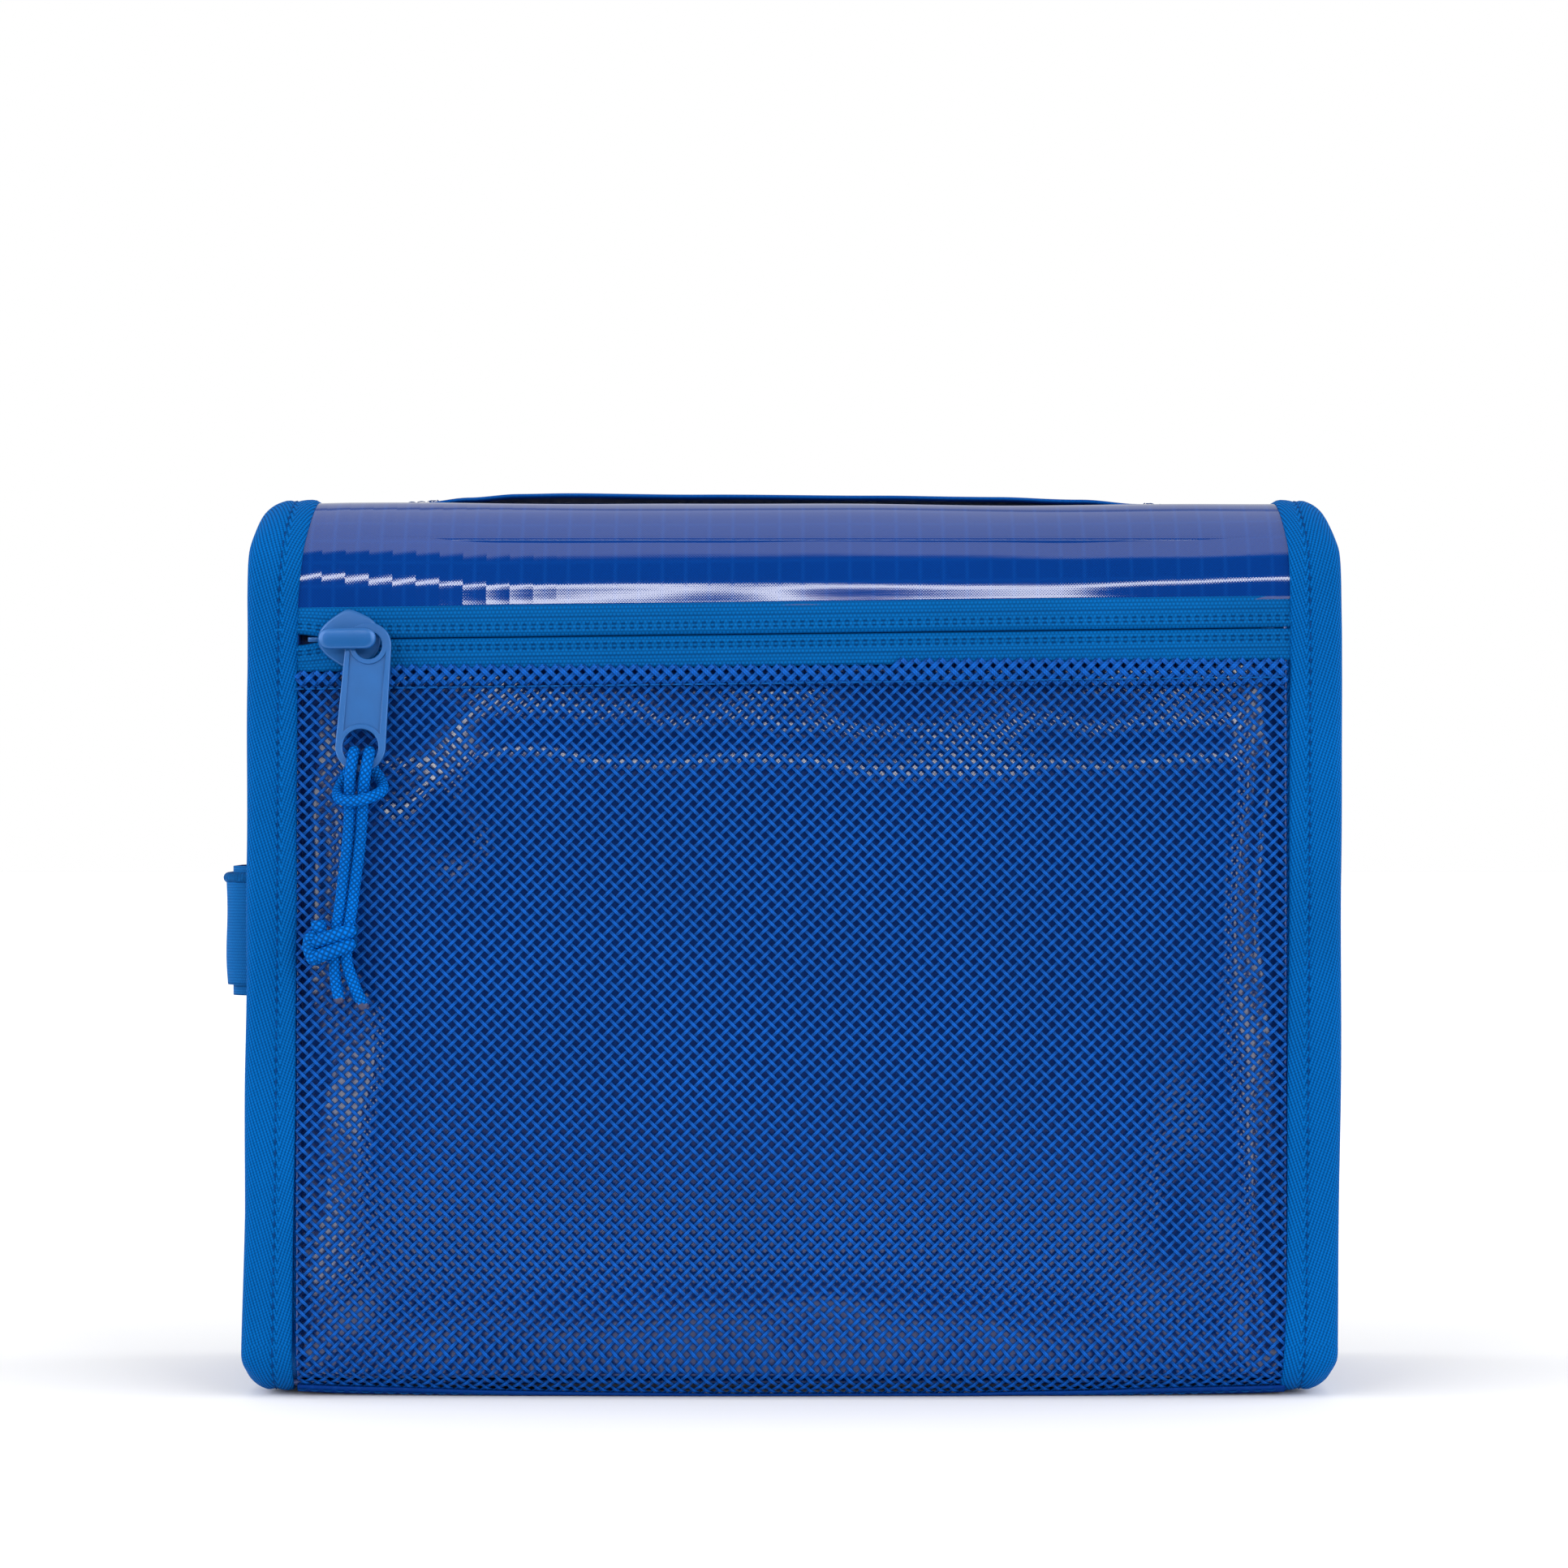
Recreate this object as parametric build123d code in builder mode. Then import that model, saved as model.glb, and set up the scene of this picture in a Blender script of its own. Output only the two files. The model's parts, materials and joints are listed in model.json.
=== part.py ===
"""Upright zip pouch for packing: a mesh pocket in front, a zipped lid behind, bound side seams.

Millimetres. +X is right and -Y is towards the front, +Z is up, and the origin is under the middle
of the base on the surface that the pouch stands on. Each soft part is a plain closed solid of the
cloth's true size, and the zips, their sliders and their pulls have their real shapes.
"""

import math
import os

from build123d import *

# The bag's outside
depth = 85.0  # front face to back face
height = 210.9  # the surface below to the top panel's outer face
base_lift = 1.6  # how far the seams of the base stand above the surface
top_radius = 21.0
base_radius = 11.0
body_half = 116.2  # half the width between the two bindings
binding_width = 12.2  # the bound seam's reach past each side panel

# Cloth
cloth = 0.8  # coated ripstop
mesh_cloth = 0.6
binding_wall = 0.7  # twill tape on the seam's outer side
seam_wall = 1.5  # gusset edge and twill tape on the seam's inner side
seam_cover = 0.7  # tape round the edge of the seam
mesh_low = 3.0  # height of the mesh's bottom edge
hem_proud = 1.4
hem_from, hem_to = 42.0, 72.0  # degrees below the horizontal on the base's front curve
base_pad_half_x, base_pad_half_y = 112.0, 29.0

# Zips, all the same size
tape_half = 7.5  # visible tape on each side of the zip's line
tape_thick = 0.6
zip_gap = 1.2  # room between the two halves for the slider's post
coil_width = 2.3
coil_thick = 1.6

# Front zip: its line rises a little to the right
front_zip_clear = 1.64  # left between the upper tape and the top curve at its higher end
front_zip_tilt = 0.7
stop_inset = 3.0
stop_width = 3.0

# Back lid, opening on a zip shaped like an arch
lid_half = 100.0  # half the distance between the zip's upright lines
lid_top_drop = 34.3  # top line of the zip below the top panel's outer face
hinge_height = 50.0
lid_radius = 26.0
zip_tail = 16.0  # zip below the hinge line
lid_gap = 0.3
hinge_tape_height = 10.0

# Slider and pull
plate_length = 14.1
plate_nose = 3.4
plate_waist = 6.2
plate_tail = 3.3
plate_thick = 1.2
plate_gap = 0.3  # between each plate and the zip
post_thick = 0.6
crown_length = 13.4
crown_width = 4.6
crown_thick = 1.5
crown_window = 3.2  # room under the crown
crown_leg_radius = 1.15
crown_leg_inset = 1.9
crown_edge = 0.5
pull_thick = 1.8
pull_hole_radius = 3.2
pull_top_radius = 5.35
pull_eye_radius = 4.2
pull_low_radius = 5.85
pull_span = 23.8  # upper hole to lower eye
pull_slack = 0.3  # between the leg and the edge of the hole
pull_lift = 0.7  # back of the pull off the slider's plate
pull_recess = 0.3
pull_rim = 1.2
front_pull_lean = 4.1  # degrees towards the closed end
front_pull_tilt = 4.0  # degrees off the mesh, held off by the hitch
front_slider_x = -103.5
main_slider_clear = 1.5  # slider's end below the hinge line

# Handle and side loop
handle_half = 100.0
handle_width = 25.0
handle_thick = 1.2
handle_sewn = 17.0
handle_rise = 2.2
handle_ramp = 12.0
bartack_thick = 0.4
bartack_margin = 2.5
loop_reach = 21.0  # past the side panel
loop_half = 14.0
loop_height = 26.4
loop_low = 95.6
loop_thick = 1.6
loop_corner = 6.0
patch_thick = 1.2
patch_margin = 3.0

# Cord on the front pull
cord_diameter = 2.7
cord_left_strand = [
    (-101.9, -48.4, 151.3), (-102.2, -50.2, 149.0), (-102.6, -50.3, 145.4),
    (-102.8, -49.4, 140.8), (-102.9, -48.2, 135.5), (-103.5, -47.6, 129.0),
    (-104.4, -47.4, 122.0), (-105.2, -47.6, 115.2), (-105.9, -48.3, 110.6),
]
cord_right_strand = [
    (-98.3, -48.4, 151.3), (-98.6, -50.2, 149.0), (-99.2, -50.3, 145.4),
    (-99.7, -49.4, 140.8), (-100.0, -48.2, 135.5), (-100.6, -47.6, 129.0),
    (-101.6, -47.4, 122.0), (-102.4, -47.6, 115.2), (-103.1, -48.3, 110.6),
]
cord_hitch_path = [
    (-98.6, -45.2, 149.4), (-97.3, -44.9, 146.4), (-94.9, -46.2, 143.4),
    (-94.6, -49.8, 141.9), (-97.4, -52.6, 140.7), (-101.0, -52.8, 139.9),
    (-104.4, -52.4, 139.5), (-106.6, -49.6, 140.3), (-106.3, -46.2, 142.0),
    (-104.0, -44.9, 145.8), (-102.2, -45.2, 149.4),
]
cord_left_tail = [
    (-106.9, -48.5, 102.4), (-106.7, -48.0, 99.4), (-106.2, -47.5, 96.2), (-105.3, -47.2, 92.9),
]
cord_right_tail = [
    (-103.4, -48.5, 102.4), (-102.6, -48.0, 99.2), (-101.3, -47.5, 95.5), (-99.4, -47.2, 91.6),
]
knot_centre = (-106.0, -48.6, 106.5)
knot_size = (11.6, 5.6, 8.2)
knot_corner = 2.6
knot_lean = -20.0

# Worked out from the sizes above
front = -depth / 2
back = depth / 2
seam_half = body_half + binding_width - seam_cover
gusset_inner = body_half - cloth
lid_top = height - lid_top_drop
pocket_back = front + tape_thick + coil_thick + plate_gap + plate_thick + 0.5
slope = math.radians(front_zip_tilt)
front_zip_height = height - top_radius - tape_half - seam_half * math.sin(slope) - front_zip_clear
# The stack through a zip: the slider's outer plate, the tape, the coil, the slider's inner plate
plate_outside = plate_gap + plate_thick
plate_inside = tape_thick + coil_thick + plate_gap

os.makedirs("parts", exist_ok=True)


def write(piece, name):
    """Label one finished piece and write it under its own name."""
    piece.label = name
    export_step(piece, f"parts/{name}.step")


def facing_front(y):
    """The upright plane at depth y, drawn as seen from the front; extrude goes to the front."""
    return Plane.XZ.offset(-y)


def wall_outline(inset, x=0.0):
    """The bag's side outline at x, drawn so far inside its outer face."""
    with BuildSketch(Plane.YZ.offset(x)) as outline:
        with Locations((0, (height + base_lift) / 2)):
            Rectangle(depth - 2 * inset, height - base_lift - 2 * inset)
        fillet(outline.vertices().group_by(Axis.Y)[-1], top_radius - inset)
        fillet(outline.vertices().group_by(Axis.Y)[0], base_radius - inset)
    return outline.sketch


def wall(outer, inner, half_length):
    """A closed band that follows the bag's outline between two insets, across the width."""
    with BuildPart() as band:
        extrude(wall_outline(outer), amount=half_length, both=True)
        extrude(wall_outline(inner), amount=half_length, both=True, mode=Mode.SUBTRACT)
    return band.part


def zip_plane(y):
    """The upright plane at depth y whose X runs along the front zip's slightly rising line."""
    return Plane(
        origin=(0, y, front_zip_height),
        x_dir=(math.cos(slope), 0, math.sin(slope)),
        z_dir=(0, -1, 0),
    )


def zip_strip(y, thick, inner, outer, half_length):
    """A strip along the front zip between two heights from its line, from depth y forwards."""
    with BuildPart() as strip:
        with BuildSketch(zip_plane(y)):
            with Locations((0, (inner + outer) / 2)):
                Rectangle(2 * half_length, abs(outer - inner))
        extrude(amount=thick)
    return strip.part


def lid_outline(grow, low):
    """The arch of the lid's zip line, grown by so much and cut off level at the height low."""
    with BuildSketch() as arch:
        with Locations((0, low)):
            Rectangle(2 * (lid_half + grow), lid_top + grow - low, align=(Align.CENTER, Align.MIN))
        fillet(arch.vertices().group_by(Axis.Y)[-1], lid_radius + grow)
    return arch.sketch


def arch_band(outer, inner, low, y, thick):
    """A flat band that follows the lid's arch between two distances from the zip line."""
    with BuildPart() as band:
        with BuildSketch(facing_front(y)):
            add(lid_outline(outer, low))
            add(lid_outline(inner, low), mode=Mode.SUBTRACT)
        extrude(amount=thick)
    return band.part


def zip_ends(inner, outer, y, thick):
    """The two inner strips of the back zip that run on below the hinge line."""
    with BuildPart() as ends:
        with BuildSketch(facing_front(y)):
            for side in (-1, 1):
                with Locations((side * (lid_half - (inner + outer) / 2), hinge_height - zip_tail)):
                    Rectangle(outer - inner, zip_tail - lid_gap, align=(Align.CENTER, Align.MIN))
        extrude(amount=thick)
    return ends.part


# ---- Cloth of the body ----

with BuildPart() as top_block:
    with BuildSketch(zip_plane(0)):
        with Locations((0, tape_half)):
            Rectangle(4 * body_half, height, align=(Align.CENTER, Align.MIN))
    extrude(amount=depth)
    with Locations((0, 0, height - top_radius)):
        Box(4 * body_half, depth, height, align=(Align.CENTER, Align.MIN, Align.MIN))

with BuildPart() as top_panel:
    add(wall(0, cloth, seam_half))
    add(top_block.part, mode=Mode.INTERSECT)
write(top_panel.part, "top_panel")

with BuildPart() as mesh_panel:
    add(wall(0, mesh_cloth, seam_half))
    with BuildSketch(zip_plane(front + base_radius)):
        with Locations((0, -tape_half)):
            Rectangle(4 * body_half, height, align=(Align.CENTER, Align.MAX))
    extrude(amount=depth, mode=Mode.INTERSECT)
    split(bisect_by=Plane.XY.offset(mesh_low), keep=Keep.TOP)
write(mesh_panel.part, "mesh_panel")

base_top = base_lift + base_radius
with BuildPart() as base_panel:
    add(wall(0, cloth, seam_half))
    split(bisect_by=Plane.XY.offset(base_top), keep=Keep.BOTTOM)
    with Locations((0, front + base_radius, mesh_low)):
        Box(4 * body_half, depth, height,
            align=(Align.CENTER, Align.MAX, Align.MIN), mode=Mode.SUBTRACT)
    with BuildSketch(Plane.XY):
        RectangleRounded(2 * base_pad_half_x, 2 * base_pad_half_y, base_radius)
    extrude(amount=base_lift)
write(base_panel.part, "base_panel")

with BuildPart() as base_hem:
    hem_centre = (front + base_radius, base_top)
    with BuildSketch(Plane.YZ):
        with BuildLine():
            inner_arc = CenterArc(hem_centre, base_radius, 180 + hem_from, hem_to - hem_from)
            outer_arc = CenterArc(
                hem_centre, base_radius + hem_proud, 180 + hem_from, hem_to - hem_from)
            Line(inner_arc @ 0, outer_arc @ 0)
            Line(inner_arc @ 1, outer_arc @ 1)
        make_face()
    extrude(amount=body_half, both=True)
write(base_hem.part, "base_hem")

with BuildPart() as front_panel:
    extrude(wall_outline(cloth), amount=gusset_inner, both=True)
    with Locations((0, pocket_back, height / 2)):
        Box(4 * body_half, cloth, 2 * height,
            align=(Align.CENTER, Align.MIN, Align.CENTER), mode=Mode.INTERSECT)
write(front_panel.part, "front_panel")

with BuildPart() as back_frame:
    with BuildSketch(facing_front(back)):
        with Locations((0, base_top)):
            Rectangle(2 * seam_half, height - top_radius - base_top,
                      align=(Align.CENTER, Align.MIN))
        add(lid_outline(tape_half, hinge_height - zip_tail), mode=Mode.SUBTRACT)
        with Locations((0, hinge_height)):
            Rectangle(2 * (lid_half - tape_half), zip_tail, align=(Align.CENTER, Align.MAX))
    extrude(amount=cloth)
write(back_frame.part, "back_frame")

with BuildPart() as right_gusset:
    extrude(wall_outline(cloth, gusset_inner), amount=cloth)
write(right_gusset.part, "right_gusset")

with BuildPart() as left_gusset:
    mirror(right_gusset.part, about=Plane.YZ)
write(left_gusset.part, "left_gusset")

# Folded tape round the edge of each side seam, with a groove that holds the cloth
with BuildPart() as right_binding:
    extrude(wall_outline(-binding_wall, body_half), amount=binding_width)
    extrude(wall_outline(cloth + seam_wall, body_half), amount=binding_width, mode=Mode.SUBTRACT)
    with BuildPart(mode=Mode.PRIVATE) as groove:
        extrude(wall_outline(0, body_half), amount=binding_width - seam_cover)
        extrude(wall_outline(cloth, body_half), amount=binding_width - seam_cover,
                mode=Mode.SUBTRACT)
    add(groove.part, mode=Mode.SUBTRACT)
write(right_binding.part, "right_binding")

with BuildPart() as left_binding:
    mirror(right_binding.part, about=Plane.YZ)
write(left_binding.part, "left_binding")

# ---- Front zip ----

tape_back = front + tape_thick
tape_end = seam_half - 0.2
coil_end = gusset_inner - 0.6
gap_half = zip_gap / 2
upper_tape = zip_strip(tape_back, tape_thick, gap_half, tape_half, tape_end)
lower_tape = zip_strip(tape_back, tape_thick, -gap_half, -tape_half, tape_end)
upper_coil = zip_strip(tape_back + coil_thick, coil_thick, gap_half, gap_half + coil_width, coil_end)
lower_coil = zip_strip(
    tape_back + coil_thick, coil_thick, -gap_half, -gap_half - coil_width, coil_end)
write(upper_tape, "front_zip_upper_tape")
write(lower_tape, "front_zip_lower_tape")
write(upper_coil, "front_zip_upper_coil")
write(lower_coil, "front_zip_lower_coil")

with BuildPart() as front_zip_stops:
    with BuildSketch(zip_plane(tape_back + coil_thick)):
        for side in (-1, 1):
            with Locations((side * (coil_end - stop_inset), 0)):
                Rectangle(stop_width, zip_gap)
    extrude(amount=coil_thick)
write(front_zip_stops.part, "front_zip_stops")

# ---- Back zip and lid ----

coil_outer = gap_half + coil_width
tail_low = hinge_height - zip_tail
coil_face = back - tape_thick

with BuildPart() as lid_zip_frame_tape:
    add(arch_band(tape_half, gap_half, tail_low, back, tape_thick))
    add(zip_ends(gap_half, tape_half, back, tape_thick))
write(lid_zip_frame_tape.part, "lid_zip_frame_tape")

with BuildPart() as lid_zip_frame_coil:
    add(arch_band(coil_outer, gap_half, tail_low, coil_face, coil_thick))
    add(zip_ends(gap_half, coil_outer, coil_face, coil_thick))
write(lid_zip_frame_coil.part, "lid_zip_frame_coil")

with BuildPart() as lid_zip_stops:
    with BuildSketch(facing_front(coil_face)):
        for side in (-1, 1):
            with Locations((side * lid_half, tail_low)):
                Rectangle(zip_gap, stop_width / 2, align=(Align.CENTER, Align.MIN))
    extrude(amount=coil_thick)
write(lid_zip_stops.part, "lid_zip_stops")

lid_low = hinge_height + lid_gap
write(arch_band(-gap_half, -tape_half, lid_low, back, tape_thick), "lid_zip_lid_tape")
write(arch_band(-gap_half, -coil_outer, lid_low, coil_face, coil_thick), "lid_zip_lid_coil")

with BuildPart() as lid_panel:
    with BuildSketch(facing_front(back)):
        add(lid_outline(-tape_half, lid_low))
    extrude(amount=cloth)
write(lid_panel.part, "lid_panel")

with BuildPart() as lid_hinge_tape:
    with BuildSketch(facing_front(back - cloth)):
        with Locations((0, hinge_height)):
            Rectangle(2 * (lid_half - tape_half), hinge_tape_height,
                      align=(Align.CENTER, Align.MAX))
    extrude(amount=cloth)
write(lid_hinge_tape.part, "lid_hinge_tape")

# ---- Sliders and pulls ----


def slider_body(place):
    """Two plates joined by a thin post. X runs to the nose and Z out of the cloth."""
    with BuildPart() as slider:
        for low in (plate_gap, -plate_inside - plate_thick):
            with BuildSketch(place.offset(low)) as plate:
                half = plate_length / 2
                Polygon(
                    (half, plate_nose / 2), (0, plate_waist), (-half, plate_tail),
                    (-half, -plate_tail), (0, -plate_waist), (half, -plate_nose / 2), align=None)
                fillet(plate.vertices(), plate_nose / 3)
            extrude(amount=plate_thick)
        with BuildSketch(place.offset(-plate_inside - plate_thick / 2)):
            with Locations((plate_length / 4, 0)):
                SlotOverall(plate_length / 4, post_thick)
        extrude(amount=plate_inside + plate_gap + plate_thick)
    return slider.part


def slider_crown(place):
    """The arch on a slider's outer plate that carries the pull."""
    with BuildPart() as crown:
        with BuildSketch(place.offset(plate_outside + crown_window)):
            SlotOverall(crown_length, crown_width)
        extrude(amount=crown_thick)
        outward = Axis(place.origin, place.z_dir)
        fillet(crown.faces().sort_by(outward)[-1].edges(), crown_edge)
        with BuildSketch(place.offset(plate_outside)):
            reach = crown_length / 2 - crown_leg_inset
            with Locations((-reach, 0), (reach, 0)):
                Circle(crown_leg_radius)
        extrude(amount=crown_window)
    return crown.part


def pull_plane(place, leg_side, out, lean, tilt):
    """The plane on a hanging pull's back face, its origin at the centre of the upper hole."""
    reach = leg_side * (crown_length / 2 - crown_leg_inset)
    leg = place.from_local_coords((reach, 0, plate_outside + pull_lift))
    drop = pull_hole_radius - crown_leg_radius - pull_slack
    hole = Vector(leg.X, leg.Y, leg.Z - drop)
    upright = Plane(origin=hole, x_dir=Vector(0, 0, 1).cross(out), z_dir=out)
    return upright.rotated((-tilt, lean, 0))


def pull_tab(plane):
    """A flat pull with a round hole at each end and a shallow recess between them."""
    with BuildPart() as tab:
        with BuildSketch(plane):
            Circle(pull_top_radius)
            with Locations((0, -pull_span)):
                Circle(pull_low_radius)
            make_hull()
            Circle(pull_hole_radius, mode=Mode.SUBTRACT)
            with Locations((0, -pull_span)):
                Circle(pull_eye_radius, mode=Mode.SUBTRACT)
        extrude(amount=pull_thick)
        with BuildSketch(plane.offset(pull_thick)):
            with Locations((0, -pull_span / 2)):
                Rectangle(2 * (pull_top_radius - pull_rim), pull_span)
            Circle(pull_hole_radius + pull_rim, mode=Mode.SUBTRACT)
            with Locations((0, -pull_span)):
                Circle(pull_eye_radius + pull_rim, mode=Mode.SUBTRACT)
        extrude(amount=-pull_recess, mode=Mode.SUBTRACT)
    return tab.part


front_place = Plane(
    origin=(front_slider_x, front, front_zip_height + front_slider_x * math.tan(slope)),
    x_dir=(-math.cos(slope), 0, -math.sin(slope)),
    z_dir=(0, -1, 0),
)
write(slider_body(front_place), "front_slider_body")
write(slider_crown(front_place), "front_slider_crown")
front_pull_plane = pull_plane(
    front_place, -1, Vector(0, -1, 0), front_pull_lean, front_pull_tilt)
write(pull_tab(front_pull_plane), "front_pull_tab")

main_place = Plane(
    origin=(-lid_half, back, hinge_height - main_slider_clear - plate_length / 2),
    x_dir=(0, 0, -1),
    z_dir=(0, 1, 0),
)
write(slider_body(main_place), "lid_slider_body")
write(slider_crown(main_place), "lid_slider_crown")
main_pull_plane = pull_plane(main_place, 1, Vector(0, 1, 0), 0, 0)
write(pull_tab(main_pull_plane), "lid_pull_tab")

# ---- Handle and side loop ----

with BuildPart() as carry_handle:
    with BuildSketch(Plane.XZ):
        sewn = handle_half - handle_sewn
        level = sewn - handle_ramp
        under = [(-handle_half, 0), (-sewn, 0), (-level, handle_rise),
                 (level, handle_rise), (sewn, 0), (handle_half, 0)]
        over = [(x, z + handle_thick) for x, z in reversed(under)]
        with Locations((0, height)):
            Polygon(*under, *over, align=None)
    extrude(amount=handle_width / 2, both=True)
write(carry_handle.part, "carry_handle")

with BuildPart() as handle_bartacks:
    with BuildSketch(Plane.XY.offset(height + handle_thick)):
        middle = handle_half - handle_sewn / 2
        with Locations((-middle, 0), (middle, 0)):
            Rectangle(handle_sewn - 2 * bartack_margin, handle_width - 2 * bartack_margin)
    extrude(amount=bartack_thick)
write(handle_bartacks.part, "handle_bartacks")

with BuildPart() as side_loop_patch:
    with BuildSketch(Plane.XY.offset(loop_low - patch_margin)):
        with Locations((-body_half, 0)):
            Rectangle(patch_thick, 2 * (loop_half + patch_margin), align=(Align.MAX, Align.CENTER))
    extrude(amount=loop_height + 2 * patch_margin)
write(side_loop_patch.part, "side_loop_patch")

with BuildPart() as side_loop:
    with BuildSketch(Plane.XY.offset(loop_low)):
        length = loop_reach - patch_thick
        for shrink, corner, mode in ((0, loop_corner, Mode.ADD),
                                     (loop_thick, loop_corner - loop_thick, Mode.SUBTRACT)):
            with BuildSketch(mode=mode) as outline:
                with Locations((-body_half - patch_thick, 0)):
                    Rectangle(length - shrink, 2 * (loop_half - shrink),
                              align=(Align.MAX, Align.CENTER))
                fillet(outline.vertices().group_by(Axis.X)[0], corner)
    extrude(amount=loop_height)
write(side_loop.part, "side_loop")

# ---- Cord on the front pull ----


def cord_radii(points):
    """The largest arc that two runs leave room for, at each corner of a cord's route."""
    radii = []
    for a, b, c in zip(points, points[1:], points[2:]):
        run_in, run_out = Vector(b) - Vector(a), Vector(c) - Vector(b)
        turn = math.radians(run_in.get_angle(run_out))
        radii.append(0.45 * min(run_in.length, run_out.length) / math.tan(turn / 2))
    return radii


def cord_tube(points, name):
    """A round cord along straight runs joined by tangent arcs."""
    radii = cord_radii(points)
    with BuildPart() as tube:
        with BuildLine() as route:
            FilletPolyline(*points, radius=radii)
        line = route.wire()
        with BuildSketch(Plane(origin=line @ 0, z_dir=line % 0)):
            Circle(cord_diameter / 2)
        sweep(path=line)
    section = math.pi * cord_diameter**2 / 4
    print(name, "length", round(line.length, 1), "volume ratio",
          round(tube.part.volume / (section * line.length), 4),
          "radii", [round(r, 1) for r in radii])
    return tube.part


def cord_group(routes, name):
    """Several lengths of cord in one node."""
    with BuildPart() as group:
        for route in routes:
            add(cord_tube(route, name))
    write(group.part, name)


cord_group([cord_left_strand, cord_right_strand], "pull_cord_strands")
cord_group([cord_hitch_path], "pull_cord_hitch")
cord_group([cord_left_tail, cord_right_tail], "pull_cord_tails")

with BuildPart() as pull_cord_knot:
    with Locations(Location(knot_centre, (0, knot_lean, 0))):
        Box(*knot_size)
    fillet(pull_cord_knot.edges(), knot_corner)
write(pull_cord_knot.part, "pull_cord_knot")
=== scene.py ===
import bmesh
import bpy
import json
import math
from mathutils import Euler, Matrix, Vector, noise


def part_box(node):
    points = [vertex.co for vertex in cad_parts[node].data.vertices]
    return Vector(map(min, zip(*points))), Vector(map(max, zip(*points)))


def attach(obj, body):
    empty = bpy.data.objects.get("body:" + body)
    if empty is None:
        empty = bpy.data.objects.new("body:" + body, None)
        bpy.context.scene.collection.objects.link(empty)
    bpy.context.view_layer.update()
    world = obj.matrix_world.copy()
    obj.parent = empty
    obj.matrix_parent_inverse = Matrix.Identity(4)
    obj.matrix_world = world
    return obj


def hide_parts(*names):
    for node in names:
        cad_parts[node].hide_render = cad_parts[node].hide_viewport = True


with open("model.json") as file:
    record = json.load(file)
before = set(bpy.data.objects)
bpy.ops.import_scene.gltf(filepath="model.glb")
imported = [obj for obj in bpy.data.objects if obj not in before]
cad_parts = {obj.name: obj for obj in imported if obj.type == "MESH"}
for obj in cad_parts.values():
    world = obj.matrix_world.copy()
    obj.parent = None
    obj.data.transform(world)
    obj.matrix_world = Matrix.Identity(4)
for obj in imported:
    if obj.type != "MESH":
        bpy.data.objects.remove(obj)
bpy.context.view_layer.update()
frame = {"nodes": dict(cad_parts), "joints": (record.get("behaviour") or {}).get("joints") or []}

# ---- Sizes read from the frame, in metres ----

MM = 0.001


def node_box(name):
    """A CAD node's lowest and highest corners as vectors."""
    low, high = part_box(name)
    return Vector(low), Vector(high)


binding_low, binding_high = node_box("right_binding")
frame_low, frame_high = node_box("back_frame")
lid_low, lid_high = node_box("lid_panel")
pocket_low, pocket_high = node_box("front_panel")
hinge_low, hinge_high = node_box("lid_hinge_tape")
strap_low, strap_high = node_box("carry_handle")
loop_low, loop_high = node_box("side_loop")
patch_low, patch_high = node_box("side_loop_patch")
joints = {joint["name"]: joint for joint in frame["joints"]}

BASE_LIFT = 0.7 * MM     # the base cloth's height over the bindings' foot
BODY_HALF = binding_low.x
SEAM_HALF = binding_high.x
FRONT = node_box("mesh_panel")[0].y
BACK = frame_high.y
DEPTH = BACK - FRONT
TOP = node_box("top_panel")[1].z
BASE = binding_low.z + BASE_LIFT
TOP_RADIUS = TOP - frame_high.z
BASE_RADIUS = frame_low.z - BASE
CLOTH = 0.8 * MM
ZIP_HALF = 7.5 * MM
ZIP_Z = (node_box("front_zip_upper_tape")[1].z + node_box("front_zip_lower_tape")[0].z) / 2
front_slide = joints["front_slider_slide"]
lid_slide = joints["lid_slider_slide"]
ZIP_SLOPE = front_slide["axis"][2] / front_slide["axis"][0]
HINGE_Z = joints["lid_hinge"]["pos_m"][2]

scene = bpy.context.scene
scene.view_settings.view_transform = "Standard"


def smooth(low, high, value):
    """0 below low and 1 above high, with a smooth rise between them."""
    t = min(1.0, max(0.0, (value - low) / (high - low)))
    return t * t * (3 - 2 * t)


def ripple(x, y, z, size):
    """Smooth repeatable noise from -1 to 1 with waves about this size."""
    return noise.noise(Vector((x, y, z)) / size)


def srgb(red, green, blue):
    """A display colour from 0 to 255 as the linear colour that shaders use."""
    return tuple(c / 3294.6 if c <= 10 else ((c / 255 + 0.055) / 1.055) ** 2.4
                 for c in (red, green, blue))


NET_PITCH_X = 3.05 * MM
NET_PITCH_Z = 2.95 * MM
NET_STEP = math.hypot(NET_PITCH_X, NET_PITCH_Z) / 2
STRAND_HALF = 0.41 * MM
CROSSING = 0.15 * MM
BRAID_ROUND, BRAID_PITCH = 6.0, 1.3 * MM


# ---- Shader building ----

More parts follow.
